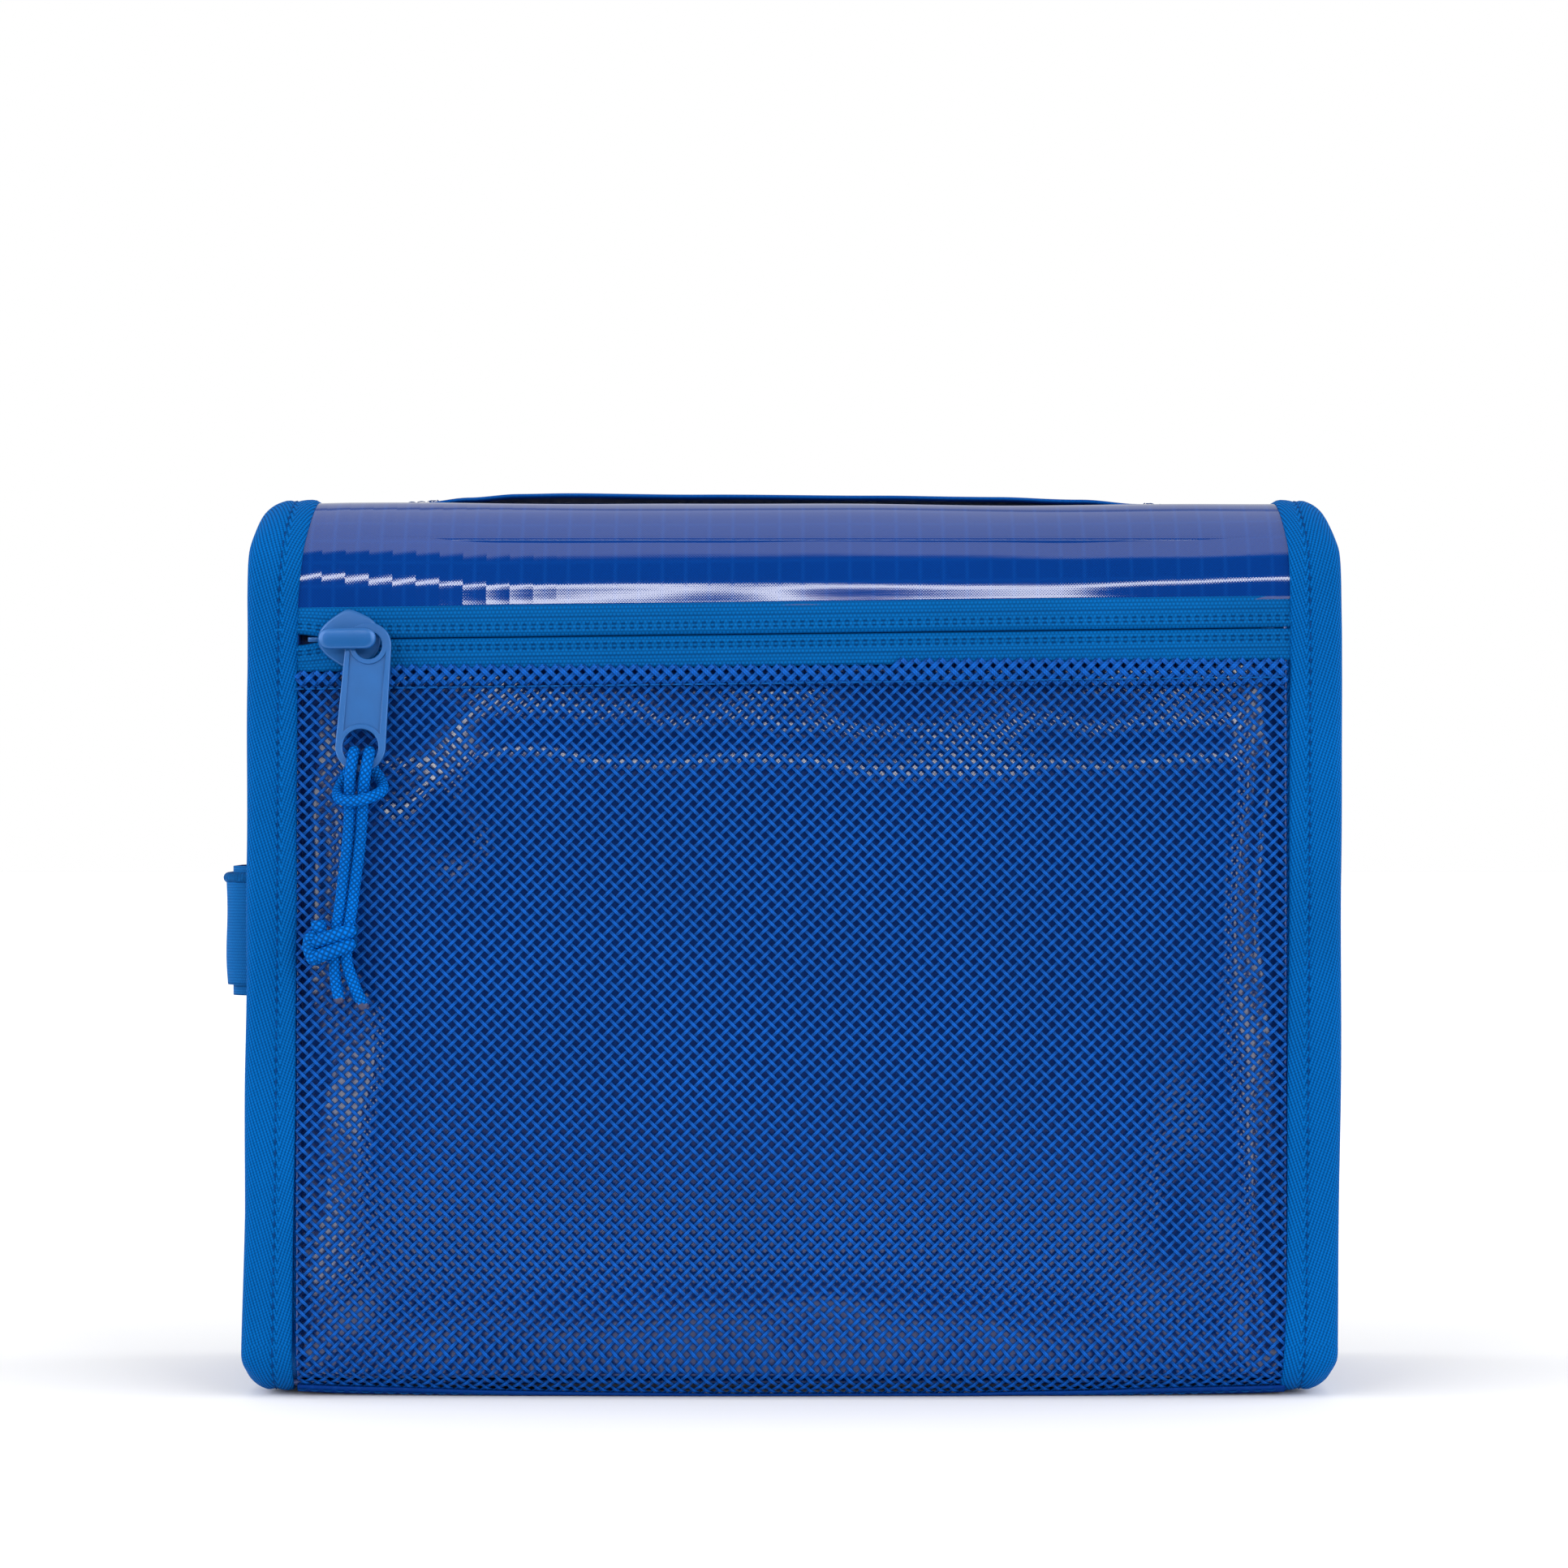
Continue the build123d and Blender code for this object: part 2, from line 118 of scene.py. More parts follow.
class Graph:
    """Adds nodes to one tree, each with its inputs linked or set as it is made."""

    def __init__(self, tree):
        self.tree = tree

    def feed(self, made, key, value):
        if isinstance(value, bpy.types.NodeSocket):
            self.tree.links.new(value, made.inputs[key])
        elif isinstance(value, tuple) and len(value) == 3 and made.inputs[key].type == "RGBA":
            made.inputs[key].default_value = (*value, 1.0)
        else:
            made.inputs[key].default_value = value

    def node(self, kind, inputs=None, **settings):
        made = self.tree.nodes.new(kind)
        for key, value in settings.items():
            setattr(made, key, value)
        for key, value in (inputs or {}).items():
            self.feed(made, key, value)
        return made

    def math(self, operation, a, b=0.0, clamp=False):
        return self.node("ShaderNodeMath", {0: a, 1: b}, operation=operation,
                         use_clamp=clamp).outputs[0]

    def add(self, a, b):
        return self.math("ADD", a, b)

    def sub(self, a, b, clamp=False):
        return self.math("SUBTRACT", a, b, clamp)

    def mul(self, a, b):
        return self.math("MULTIPLY", a, b)

    def div(self, a, b):
        return self.math("DIVIDE", a, b)

    def ridge(self, value):
        """0 at whole numbers, 1 halfway between them."""
        return self.math("ABSOLUTE", self.math("SINE", self.mul(value, math.pi)))

    def object_place(self):
        return self.node("ShaderNodeTexCoord").outputs["Object"]

    def mix(self, factor, a, b):
        return self.node("ShaderNodeMix", {0: factor, 6: a, 7: b}, data_type="RGBA").outputs[2]

    def cloth_uv(self):
        place = self.node("ShaderNodeUVMap", uv_map="cloth")
        split = self.node("ShaderNodeSeparateXYZ", {0: place.outputs[0]})
        return split.outputs[0], split.outputs[1]

    def wave(self, value, pitch):
        """A cosine of value, from -1 to 1, that repeats every pitch."""
        return self.math("COSINE", self.mul(value, 2 * math.pi / pitch))

    def bump(self, height, strength, distance):
        return self.node("ShaderNodeBump", {"Height": height, "Strength": strength,
                                            "Distance": distance}).outputs[0]

    def use(self, group, **inputs):
        made = self.node("ShaderNodeGroup", node_tree=GROUPS[group])
        for key, value in inputs.items():
            self.feed(made, key, value)
        return made.outputs


GROUPS = {}
WEAVE_PITCH = 0.66 * MM
THREAD_LONG = 0.6 * MM


def effect(name, inputs, outputs):
    """Decorator: a node group with these inputs, built by the function below it."""
    def build(fill):
        tree = bpy.data.node_groups.new(name, "ShaderNodeTree")
        for key, value in inputs.items():
            socket = tree.interface.new_socket(key, in_out="INPUT", socket_type="NodeSocketFloat")
            socket.default_value = value
        for key in outputs:
            tree.interface.new_socket(key, in_out="OUTPUT", socket_type="NodeSocketFloat")
        graph = Graph(tree)
        entry, leave = graph.node("NodeGroupInput"), graph.node("NodeGroupOutput")
        for key, value in fill(graph, entry.outputs).items():
            graph.feed(leave, key, value)
        GROUPS[name] = tree
        return fill
    return build


@effect("tone", {"Size": 30.0, "Low": 0.85, "High": 1.1}, ["Value"])
def tone_effect(g, given):
    """Slow, uneven change of tone over the cloth."""
    cloud = g.node("ShaderNodeTexNoise", {"Vector": g.object_place(), "Scale": given["Size"],
                                          "Detail": 3.0})
    ramp = g.node("ShaderNodeMapRange", {
        "Value": cloud.outputs[0], "From Min": 0.3, "From Max": 0.7,
        "To Min": given["Low"], "To Max": given["High"]})
    return {"Value": ramp.outputs[0]}


@effect("ripstop", {"U": 0.0, "V": 0.0, "Cell": 0.0055, "Width": 0.0007},
        ["Grid", "Height", "Weave"])
def ripstop_effect(g, given):
    """Thicker threads on a square grid over a fine plain weave."""
    lines = []
    for axis in ("U", "V"):
        share = g.div(given[axis], given["Cell"])
        off = g.math("ABSOLUTE", g.sub(g.math("FRACT", share), 0.5))
        away = g.mul(off, given["Cell"])
        lines.append(g.sub(1.0, g.div(away, given["Width"]), clamp=True))
    grid = g.math("MAXIMUM", lines[0], g.mul(lines[1], 0.6))
    weave = g.mul(g.wave(given["U"], WEAVE_PITCH), g.wave(given["V"], WEAVE_PITCH))
    height = g.add(grid, g.mul(weave, 0.4))
    return {"Grid": grid, "Height": height, "Weave": weave}


@effect("film", {"U": 0.0, "V": 0.0, "Weave": 0.0, "Cell": 0.0055}, ["Height", "Step"])
def film_effect(g, given):
    """The clear film's small relief, with each cell near the left edge tilted a little."""
    place = g.node("ShaderNodeCombineXYZ", {0: g.mul(given["U"], 22.0),
                                            1: g.mul(given["V"], 900.0)}).outputs[0]
    streak = g.node("ShaderNodeTexNoise", {"Vector": place, "Scale": 1.0, "Detail": 3.0}).outputs[0]
    share = g.math("FRACT", g.div(given["U"], given["Cell"]))
    near = g.node("ShaderNodeMapRange", {"Value": given["U"], "From Min": -0.05,
                                         "From Max": -0.075}).outputs[0]
    step = g.mul(g.sub(share, 0.5), g.mul(near, -0.04))
    height = g.add(given["Weave"], g.mul(streak, 1.4))
    return {"Height": height, "Step": step}


@effect("twill", {"U": 0.0, "V": 0.0, "Pitch": 0.0008, "Steep": 3.0}, ["Rib", "Thread"])
def twill_effect(g, given):
    """Steep diagonal ribs that mirror about U = 0, each rib a row of short threads."""
    side = g.math("ABSOLUTE", given["U"])
    lean = g.sub(g.mul(side, given["Steep"]), given["V"])
    turn = g.div(lean, g.mul(given["Pitch"], given["Steep"]))
    step = g.div(given["V"], THREAD_LONG)
    return {"Rib": g.ridge(turn), "Thread": g.ridge(g.add(step, g.mul(turn, 0.5)))}


@effect("knit", {"U": 0.0, "V": 0.0, "Pitch": 0.0009}, ["Height"])
def knit_effect(g, given):
    """Small staggered loops in rows."""
    across = g.div(given["V"], given["Pitch"])
    along = g.div(given["U"], given["Pitch"])
    shift = g.mul(g.math("FLOOR", across), 0.5)
    return {"Height": g.mul(g.ridge(g.add(along, shift)), g.ridge(across))}


@effect("rows", {"V": 0.0, "Place": 0.0, "Width": 0.0004}, ["Mask"])
def rows_effect(g, given):
    """1 on a line along the cloth at V = Place, fading out over Width."""
    away = g.math("ABSOLUTE", g.sub(given["V"], given["Place"]))
    return {"Mask": g.sub(1.0, g.div(away, given["Width"]), clamp=True)}


def new_material(name):
    made = bpy.data.materials.new(name)
    made.use_nodes = True
    made.node_tree.nodes.clear()
    return made, Graph(made.node_tree)


def finish_shader(g, color, roughness, normal=None, **constants):
    """The material's own Principled shader and its output."""
    inputs = {"Base Color": color, "Roughness": roughness}
    if normal is not None:
        inputs["Normal"] = normal
    shader = g.node("ShaderNodeBsdfPrincipled", inputs)
    for key, value in constants.items():
        shader.inputs[key.replace("_", " ").title().replace("Ior", "IOR")].default_value = value
    g.node("ShaderNodeOutputMaterial", {0: shader.outputs[0]})
    return shader


def shade(g, color, amount):
    """A colour made lighter or darker by a number that varies over the cloth."""
    value = g.node("ShaderNodeCombineXYZ", {0: amount, 1: amount, 2: amount}).outputs[0]
    return g.node("ShaderNodeVectorMath", {0: value, 1: color}, operation="MULTIPLY").outputs[0]


def coated_ripstop(name, gloss, haze, stepped=False):
    """Deep blue ripstop under a clear film that sinks a little between the threads."""
    made, g = new_material(name)
    u, v = g.cloth_uv()
    weave = g.use("ripstop", U=u, V=v)
    film = g.use("film", U=u, V=v, Weave=weave["Height"])
    tone = g.use("tone", Size=18.0, Low=0.94, High=1.06)["Value"]
    cloth = g.mix(g.mul(weave["Grid"], 0.3), srgb(1, 50, 124), srgb(8, 72, 154))
    speck = g.add(1.0, g.mul(weave["Weave"], 0.18))
    color = shade(g, cloth, g.mul(tone, speck))
    normal = g.bump(weave["Height"], 0.35, 0.00012)
    shader = finish_shader(g, color, 0.5, normal, coat_weight=gloss, coat_roughness=haze,
                           coat_ior=1.75, specular_ior_level=0.0)
    coat = {"Height": film["Height"], "Strength": 0.16, "Distance": 0.03 * MM}
    if stepped:
        step = g.node("ShaderNodeCombineXYZ", {2: film["Step"]}).outputs[0]
        facing = g.node("ShaderNodeNewGeometry").outputs["Normal"]
        coat["Normal"] = g.node("ShaderNodeVectorMath", {0: facing, 1: step},
                                operation="ADD").outputs[0]
    g.feed(shader, "Coat Normal", g.node("ShaderNodeBump", coat).outputs[0])
    return made


def net_thread():
    """Paired polyester threads, coloured with painted light: a painted highlight where a strand
    rises over another, painted shade where it dips under, and painted shade in the groove between
    the two threads and at the strand's edges.
    """
    made, g = new_material("net thread")
    u, v = g.cloth_uv()
    # over is 1 where the strand rises over a crossing and 0 where it dips under: the colour is
    # lightened at 1 as a painted highlight and darkened at 0 as painted shade
    over = g.add(0.5, g.mul(g.wave(v, 2 * NET_STEP), 0.5))
    # Painted shade across the strand: lighter on each thread's crown, darker in the groove between
    # the paired threads and at the strand's edges
    pair = g.math("ABSOLUTE", g.div(u, STRAND_HALF))
    ply_shading = g.sub(1.0, g.mul(g.math("ABSOLUTE", g.sub(pair, 0.5)), 1.1))
    twist = g.ridge(g.add(g.div(u, 0.0005), g.div(v, 0.0007)))
    tone = g.use("tone", Size=25.0, Low=0.92, High=1.08)["Value"]
    # An extra painted highlight on the top of each rise
    knuckle_highlight = g.mul(g.math("POWER", over, 4.0), 0.3)
    amount = g.add(g.add(0.55, g.mul(over, 0.3)), knuckle_highlight)
    amount = g.mul(amount, g.add(0.6, g.mul(ply_shading, 0.5)))
    amount = g.mul(g.mul(tone, amount), g.add(0.85, g.mul(twist, 0.3)))
    finish_shader(g, shade(g, srgb(7, 82, 170), amount), 0.45, g.bump(twist, 0.4, 0.00008),
                  specular_ior_level=0.08)
    return made


def binding_twill():
    """Twill tape folded over the seams."""
    made, g = new_material("binding twill")
    u, v = g.cloth_uv()
    twill = g.use("twill", U=u, V=v)
    tone = g.use("tone", Size=22.0, Low=0.9, High=1.08)["Value"]
    height = g.add(twill["Rib"], g.mul(twill["Thread"], 0.45))
    amount = g.mul(tone, g.add(0.36, g.mul(height, 0.72)))
    finish_shader(g, shade(g, srgb(1, 84, 154), amount), 0.62, g.bump(height, 0.8, 0.00022),
                  specular_ior_level=0.02)
    return made


def zip_tape(name, turned):
    """Knitted zip tape with two double rows of coil stitches and a groove."""
    made, g = new_material(name)
    u, v = g.cloth_uv()
    if turned:
        u, v = v, u
    side = g.math("ABSOLUTE", v)
    knit = g.use("knit", U=u, V=v)["Height"]
    holes = None
    for place in (0.0018, 0.0028):
        row = g.use("rows", V=side, Place=place, Width=0.0004)["Mask"]
        holes = row if holes is None else g.math("MAXIMUM", holes, row)
    dash = g.math("GREATER_THAN", g.math("SINE", g.mul(u, 2 * math.pi / 0.0021)), 0.1)
    holes = g.mul(holes, dash)
    groove = g.use("rows", V=side, Place=0.0046, Width=0.0004)["Mask"]
    tone = g.use("tone", Size=25.0, Low=0.93, High=1.08)["Value"]
    amount = g.mul(tone, g.add(0.66, g.mul(knit, 0.6)))
    dark = g.mul(holes, 0.75)
    dark = g.math("MAXIMUM", dark, g.mul(groove, 0.35))
    color = g.mix(dark, shade(g, srgb(2, 88, 156), amount), srgb(1, 38, 84))
    height = g.sub(knit, g.mul(dark, 1.6))
    finish_shader(g, color, 0.6, g.bump(height, 0.7, 0.0002), specular_ior_level=0.03)
    return made


def coil_nylon():
    made, g = new_material("coil nylon")
    tone = g.use("tone", Size=60.0, Low=0.9, High=1.1)["Value"]
    finish_shader(g, shade(g, srgb(3, 56, 112), tone), 0.32)
    return made


def painted_zinc():
    """Satin paint on cast metal, with a painted highlight: a lighter colour on its sharp edges."""
    made, g = new_material("painted zinc")
    worn = g.use("tone", Size=220.0, Low=0.94, High=1.06)["Value"]
    # Painted highlight: sharp convex edges, found by pointiness, are mixed towards a lighter blue
    edge = g.node("ShaderNodeNewGeometry").outputs["Pointiness"]
    edge_highlight = g.node("ShaderNodeMapRange", {"Value": edge, "From Min": 0.5, "From Max": 0.6,
                                        "To Min": 0.0, "To Max": 0.35})
    color = g.mix(edge_highlight.outputs[0], shade(g, srgb(12, 88, 156), worn), srgb(36, 114, 184))
    grain = g.node("ShaderNodeTexNoise", {"Vector": g.object_place(), "Scale": 2600.0,
                                          "Detail": 2.0}).outputs[0]
    rough = g.node("ShaderNodeMapRange", {"Value": grain, "To Min": 0.3, "To Max": 0.42})
    finish_shader(g, color, rough.outputs[0], g.bump(grain, 0.08, 0.0001), metallic=0.25,
                  coat_weight=0.3, coat_roughness=0.2)
    return made


def ribbed_cloth(name, color, pitch, cross, strength=0.6):
    """Webbing or elastic: ribs across V at one pitch and finer threads along U."""
    made, g = new_material(name)
    u, v = g.cloth_uv()
    rib = g.math("ABSOLUTE", g.math("SINE", g.mul(v, math.pi / pitch)))
    row = g.math("FLOOR", g.div(v, pitch))
    pick = g.ridge(g.add(g.div(u, cross), g.mul(row, 0.5)))
    height = g.add(g.mul(rib, 0.6), g.mul(pick, 0.4))
    tone = g.use("tone", Size=30.0, Low=0.9, High=1.1)["Value"]
    amount = g.mul(tone, g.add(0.72, g.mul(height, 0.4)))
    finish_shader(g, shade(g, srgb(*color), amount), 0.6, g.bump(height, strength, 0.2 * MM),
                  specular_ior_level=0.03)
    return made


def braided_cord():
    """Strands that cross both ways round the cord."""
    made, g = new_material("braided cord")
    u, v = g.cloth_uv()
    around, along = g.mul(u, BRAID_ROUND), g.div(v, BRAID_PITCH)
    left = g.math("SINE", g.mul(g.add(around, along), math.pi))
    right = g.math("SINE", g.mul(g.sub(around, along), math.pi))
    cell = g.math("ABSOLUTE", g.mul(left, right))
    tone = g.use("tone", Size=90.0, Low=0.88, High=1.12)["Value"]
    amount = g.mul(tone, g.add(0.38, g.mul(cell, 0.95)))
    finish_shader(g, shade(g, srgb(1, 102, 196), amount), 0.55, g.bump(cell, 1.0, 0.3 * MM),
                  specular_ior_level=0.03)
    return made


def sealed_tip():
    made, g = new_material("sealed cord tip")
    cloud = g.node("ShaderNodeTexNoise", {"Vector": g.object_place(), "Scale": 1400.0,
                                          "Detail": 3.0}).outputs[0]
    color = g.mix(cloud, srgb(2, 50, 104), srgb(66, 52, 62))
    finish_shader(g, color, 0.4, g.bump(cloud, 0.5, 0.0003))
    return made


def sewing_thread(name, color):
    made, g = new_material(name)
    u, v = g.cloth_uv()
    twist = g.math("SINE", g.mul(g.add(g.div(u, 0.0004), g.div(v, 0.0004)), math.pi))
    amount = g.add(0.9, g.mul(twist, 0.12))
    finish_shader(g, shade(g, srgb(*color), amount), 0.5, g.bump(twist, 0.3, 0.00005),
                  specular_ior_level=0.05)
    return made


RIPSTOP = coated_ripstop("coated ripstop", 1.0, 0.15)
TOP_RIPSTOP = coated_ripstop("top ripstop", 1.0, 0.06, stepped=True)
HEM_CLOTH = coated_ripstop("worn ripstop", 0.08, 0.4)
NET = net_thread()
TWILL = binding_twill()
TAPE = zip_tape("zip tape", False)
TAPE_ALONG = zip_tape("lid zip tape", True)
COIL = coil_nylon()
ZINC = painted_zinc()
WEBBING = ribbed_cloth("handle webbing", (4, 70, 144), 0.0011, 0.0016)
ELASTIC = ribbed_cloth("ribbed elastic", (16, 92, 160), 0.0007, 0.0005, strength=0.8)
CORD = braided_cord()
TIP = sealed_tip()
# The binding thread is darker than the binding's blue: painted shade for stitches sunk in the
# binding's valley. The same shaded thread sews the handle's ends and the base hem.
SHADED_THREAD = sewing_thread("binding thread", (1, 62, 124))
BRIGHT_THREAD = sewing_thread("hem thread", (10, 86, 160))


# ---- Mesh building ----

def place_mesh(name, mesh, body, replaces):
    """A mesh as a piece that rides on a body, in place of some CAD nodes."""
    piece = bpy.data.objects.new(name, mesh)
    scene.collection.objects.link(piece)
    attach(piece, body)
    if replaces:
        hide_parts(*replaces)
    return piece


def add_piece(name, verts, faces, uvs, material, body, replaces=()):
    """A piece from its vertices and faces; uvs is one pair for each vertex."""
    mesh = bpy.data.meshes.new(name)
    mesh.from_pydata([tuple(v) for v in verts], [], faces)
    layer = mesh.uv_layers.new(name="cloth")
    corner_verts = [0] * len(mesh.loops)
    mesh.loops.foreach_get("vertex_index", corner_verts)
    layer.data.foreach_set("uv", [c for i in corner_verts for c in uvs[i]])
    mesh.shade_smooth()
    mesh.materials.append(material)
    mesh.update()
    return place_mesh(name, mesh, body, replaces)


def ring_faces(rings, count, caps=True):
    """Faces between closed rings of vertices that follow each other, and over both ends."""
    faces = []
    for j in range(rings - 1):
        for i in range(count):
            k = (i + 1) % count
            faces.append((j * count + i, j * count + k, (j + 1) * count + k,
                          (j + 1) * count + i))
    if caps:
        faces.append(tuple(reversed(range(count))))
        faces.append(tuple(range((rings - 1) * count, rings * count)))
    return faces


def turned_over(faces):
    """The same faces, looking the other way."""
    return [(face[0], *reversed(face[1:])) for face in faces]


def spread(low, high, count):
    """Evenly spaced numbers from low to high."""
    return [low + (high - low) * i / (count - 1) for i in range(count)]


def cloth_sheet(name, us, vs, place, thick, material, body, replaces, keep=None):
    """A closed thin sheet: place(u, v) is a point on its outer face, and u, v are cloth metres.

    The outer face looks along (d/du) x (d/dv). keep(u, v) leaves cells out where it is false."""
    rows, cols = len(vs), len(us)
    outer = [[Vector(place(u, v)) for u in us] for v in vs]
    verts, uvs = [], []
    for layer in (0.0, thick):
        for j in range(rows):
            for i in range(cols):
                along = outer[j][min(i + 1, cols - 1)] - outer[j][max(i - 1, 0)]
                up = outer[min(j + 1, rows - 1)][i] - outer[max(j - 1, 0)][i]
                normal = along.cross(up).normalized()
                verts.append(outer[j][i] - normal * layer)
                uvs.append((us[i], vs[j]))
    cells = [[keep is None or keep((us[i] + us[i + 1]) / 2, (vs[j] + vs[j + 1]) / 2)
              for i in range(cols - 1)] for j in range(rows - 1)]
    faces, below = [], rows * cols
    for j in range(rows - 1):
        for i in range(cols - 1):
            if not cells[j][i]:
                continue
            a, b = j * cols + i, j * cols + i + 1
            d, c = a + cols, b + cols
            faces.append((a, b, c, d))
            faces.append((below + a, below + d, below + c, below + b))
            sides = ((j == 0 or not cells[j - 1][i], a, b),
                     (i == cols - 2 or not cells[j][i + 1], b, c),
                     (j == rows - 2 or not cells[j + 1][i], c, d),
                     (i == 0 or not cells[j][i - 1], d, a))
            for bare, p, q in sides:
                if bare:
                    faces.append((q, p, below + p, below + q))
    return add_piece(name, verts, faces, uvs, material, body, replaces)


def lofted(name, rings, uvs, material, body, replaces, caps=True):
    """A skin over rings of points, each ring closed; uvs matches rings."""
    verts = [p for ring in rings for p in ring]
    pairs = [p for ring in uvs for p in ring]
    faces = ring_faces(len(rings), len(rings[0]), caps)
    return add_piece(name, verts, faces, pairs, material, body, replaces)


def merge(name, parts, material, body, replaces=()):
    """Many small closed shapes as one piece; each is (verts, faces, uvs)."""
    verts, faces, uvs = [], [], []
    for part_verts, part_faces, part_uvs in parts:
        start = len(verts)
        verts.extend(part_verts)
        uvs.extend(part_uvs)
        faces.extend(tuple(start + i for i in face) for face in part_faces)
    return add_piece(name, verts, faces, uvs, material, body, replaces)


STITCH_SIDES = 6
STITCH_RINGS = 5
STITCH_UV = 2 * MM, 0.2 * MM


def stitch(start, end, out, radius):
    """One stitch: a short rounded length of thread bowed up from start to end."""
    along = (end - start).normalized()
    side = along.cross(out).normalized()
    verts, uvs = [], []
    for j in range(STITCH_RINGS):
        t = j / (STITCH_RINGS - 1)
        girth = radius * (0.35 + 0.65 * math.sin(math.pi * min(max(t, 0.12), 0.88)))
        middle = start.lerp(end, t) + out * (radius * 1.1 * math.sin(math.pi * t) - radius * 0.5)
        for i in range(STITCH_SIDES):
            turn = 2 * math.pi * i / STITCH_SIDES
            verts.append(middle + (side * math.cos(turn) + out * math.sin(turn)) * girth)
            uvs.append((t * STITCH_UV[0], i * STITCH_UV[1]))
    return verts, turned_over(ring_faces(STITCH_RINGS, STITCH_SIDES)), uvs


def stitch_row(point_at, length, pitch, fill=0.72):
    """Stitches along a line; point_at(distance) gives a point and the way out of the cloth."""
    parts = []
    for i in range(int(length / pitch)):
        start, out = point_at(i * pitch)
        parts.append(stitch(start, point_at((i + fill) * pitch)[0], out, 0.2 * MM))
    return parts


# ---- The bag's outline, seen from the side ----

FRONT_RUN = (TOP - TOP_RADIUS) - (BASE + BASE_RADIUS)
TOP_ARC = math.pi / 2 * TOP_RADIUS
TOP_RUN = DEPTH - 2 * TOP_RADIUS
BASE_ARC = math.pi / 2 * BASE_RADIUS
BASE_RUN = DEPTH - 2 * BASE_RADIUS
PERIMETER = 2 * FRONT_RUN + 2 * TOP_ARC + TOP_RUN + 2 * BASE_ARC + BASE_RUN
# Each straight run and the radius of the corner after it, and the runs' headings
OUTLINE = ((FRONT_RUN, TOP_RADIUS), (TOP_RUN, TOP_RADIUS), (FRONT_RUN, BASE_RADIUS),
           (BASE_RUN, BASE_RADIUS))
HEADINGS = ((0, 1), (1, 0), (0, -1), (-1, 0))


def walk(x, z, stretches, s):
    """A point and the way out, s along straight runs that each end in a quarter turn.

    The first run goes up from x, z, and every turn is clockwise."""
    for (run, radius), (go_x, go_z) in zip(stretches, HEADINGS):
        out_x, out_z = -go_z, go_x
        if s < run:
            return x + go_x * s, z + go_z * s, out_x, out_z
        s -= run
        x, z = x + go_x * run - out_x * radius, z + go_z * run - out_z * radius
        if s < math.pi / 2 * radius:
            c, d = math.cos(s / radius), math.sin(s / radius)
            out_x, out_z = out_x * c + go_x * d, out_z * c + go_z * d
            return x + out_x * radius, z + out_z * radius, out_x, out_z
        s -= math.pi / 2 * radius
        x, z = x + go_x * radius, z + go_z * radius
    return x, z, out_x, out_z


def wall_at(s):
    """The outer face's (y, z) and its outward (y, z), s along it from the front's foot upwards."""
    return walk(FRONT, BASE + BASE_RADIUS, OUTLINE, s % PERIMETER)


def on_wall(x, s, proud):
    """A point at x, s along the outline, standing proud of the outer face."""
    y, z, out_y, out_z = wall_at(s)
    return Vector((x, y + out_y * proud, z + out_z * proud))


# Arc lengths where the outline's stretches begin
S_TOP_FRONT = FRONT_RUN
S_TOP = S_TOP_FRONT + TOP_ARC
S_TOP_BACK = S_TOP + TOP_RUN
S_BACK = S_TOP_BACK + TOP_ARC
S_BASE_BACK = S_BACK + FRONT_RUN
S_BASE = S_BASE_BACK + BASE_ARC
S_BASE_FRONT = S_BASE + BASE_RUN


def front_s(z):
    """Distance along the outline of a height on the flat front."""
    return z - BASE - BASE_RADIUS


def zip_z(x):
    """Height of the front zip's line at x."""
    return ZIP_Z + ZIP_SLOPE * x


# ---- Camera, floor and studio light ----

CAMERA_PLACE = (-0.0017, FRONT - 1.02, 0.144)
FLOOR_WHITE = 0.95
FLOOR_HALF, FLOOR_NEAR, FLOOR_FAR = 4.0, -0.5, 6.0
STUDIO_DIM = 0.03


def make_camera():
    made = bpy.data.cameras.new("camera")
    made.lens = 100
    made.sensor_width = 36
    made.clip_end = 20
    camera = bpy.data.objects.new("camera", made)
    camera.location = CAMERA_PLACE
    camera.rotation_euler = (math.pi / 2, 0, 0)
    scene.collection.objects.link(camera)
    scene.camera = camera


def make_floor():
    mesh = bpy.data.meshes.new("floor")
    mesh.from_pydata([(-FLOOR_HALF, FLOOR_NEAR, 0), (FLOOR_HALF, FLOOR_NEAR, 0),
                      (FLOOR_HALF, FLOOR_FAR, 0), (-FLOOR_HALF, FLOOR_FAR, 0)], [], [(0, 1, 2, 3)])
    made, g = new_material("white floor")
    finish_shader(g, (FLOOR_WHITE, FLOOR_WHITE, FLOOR_WHITE), 1.0, specular_ior_level=0.0)
    mesh.materials.append(made)
    floor = bpy.data.objects.new("floor", mesh)
    scene.collection.objects.link(floor)


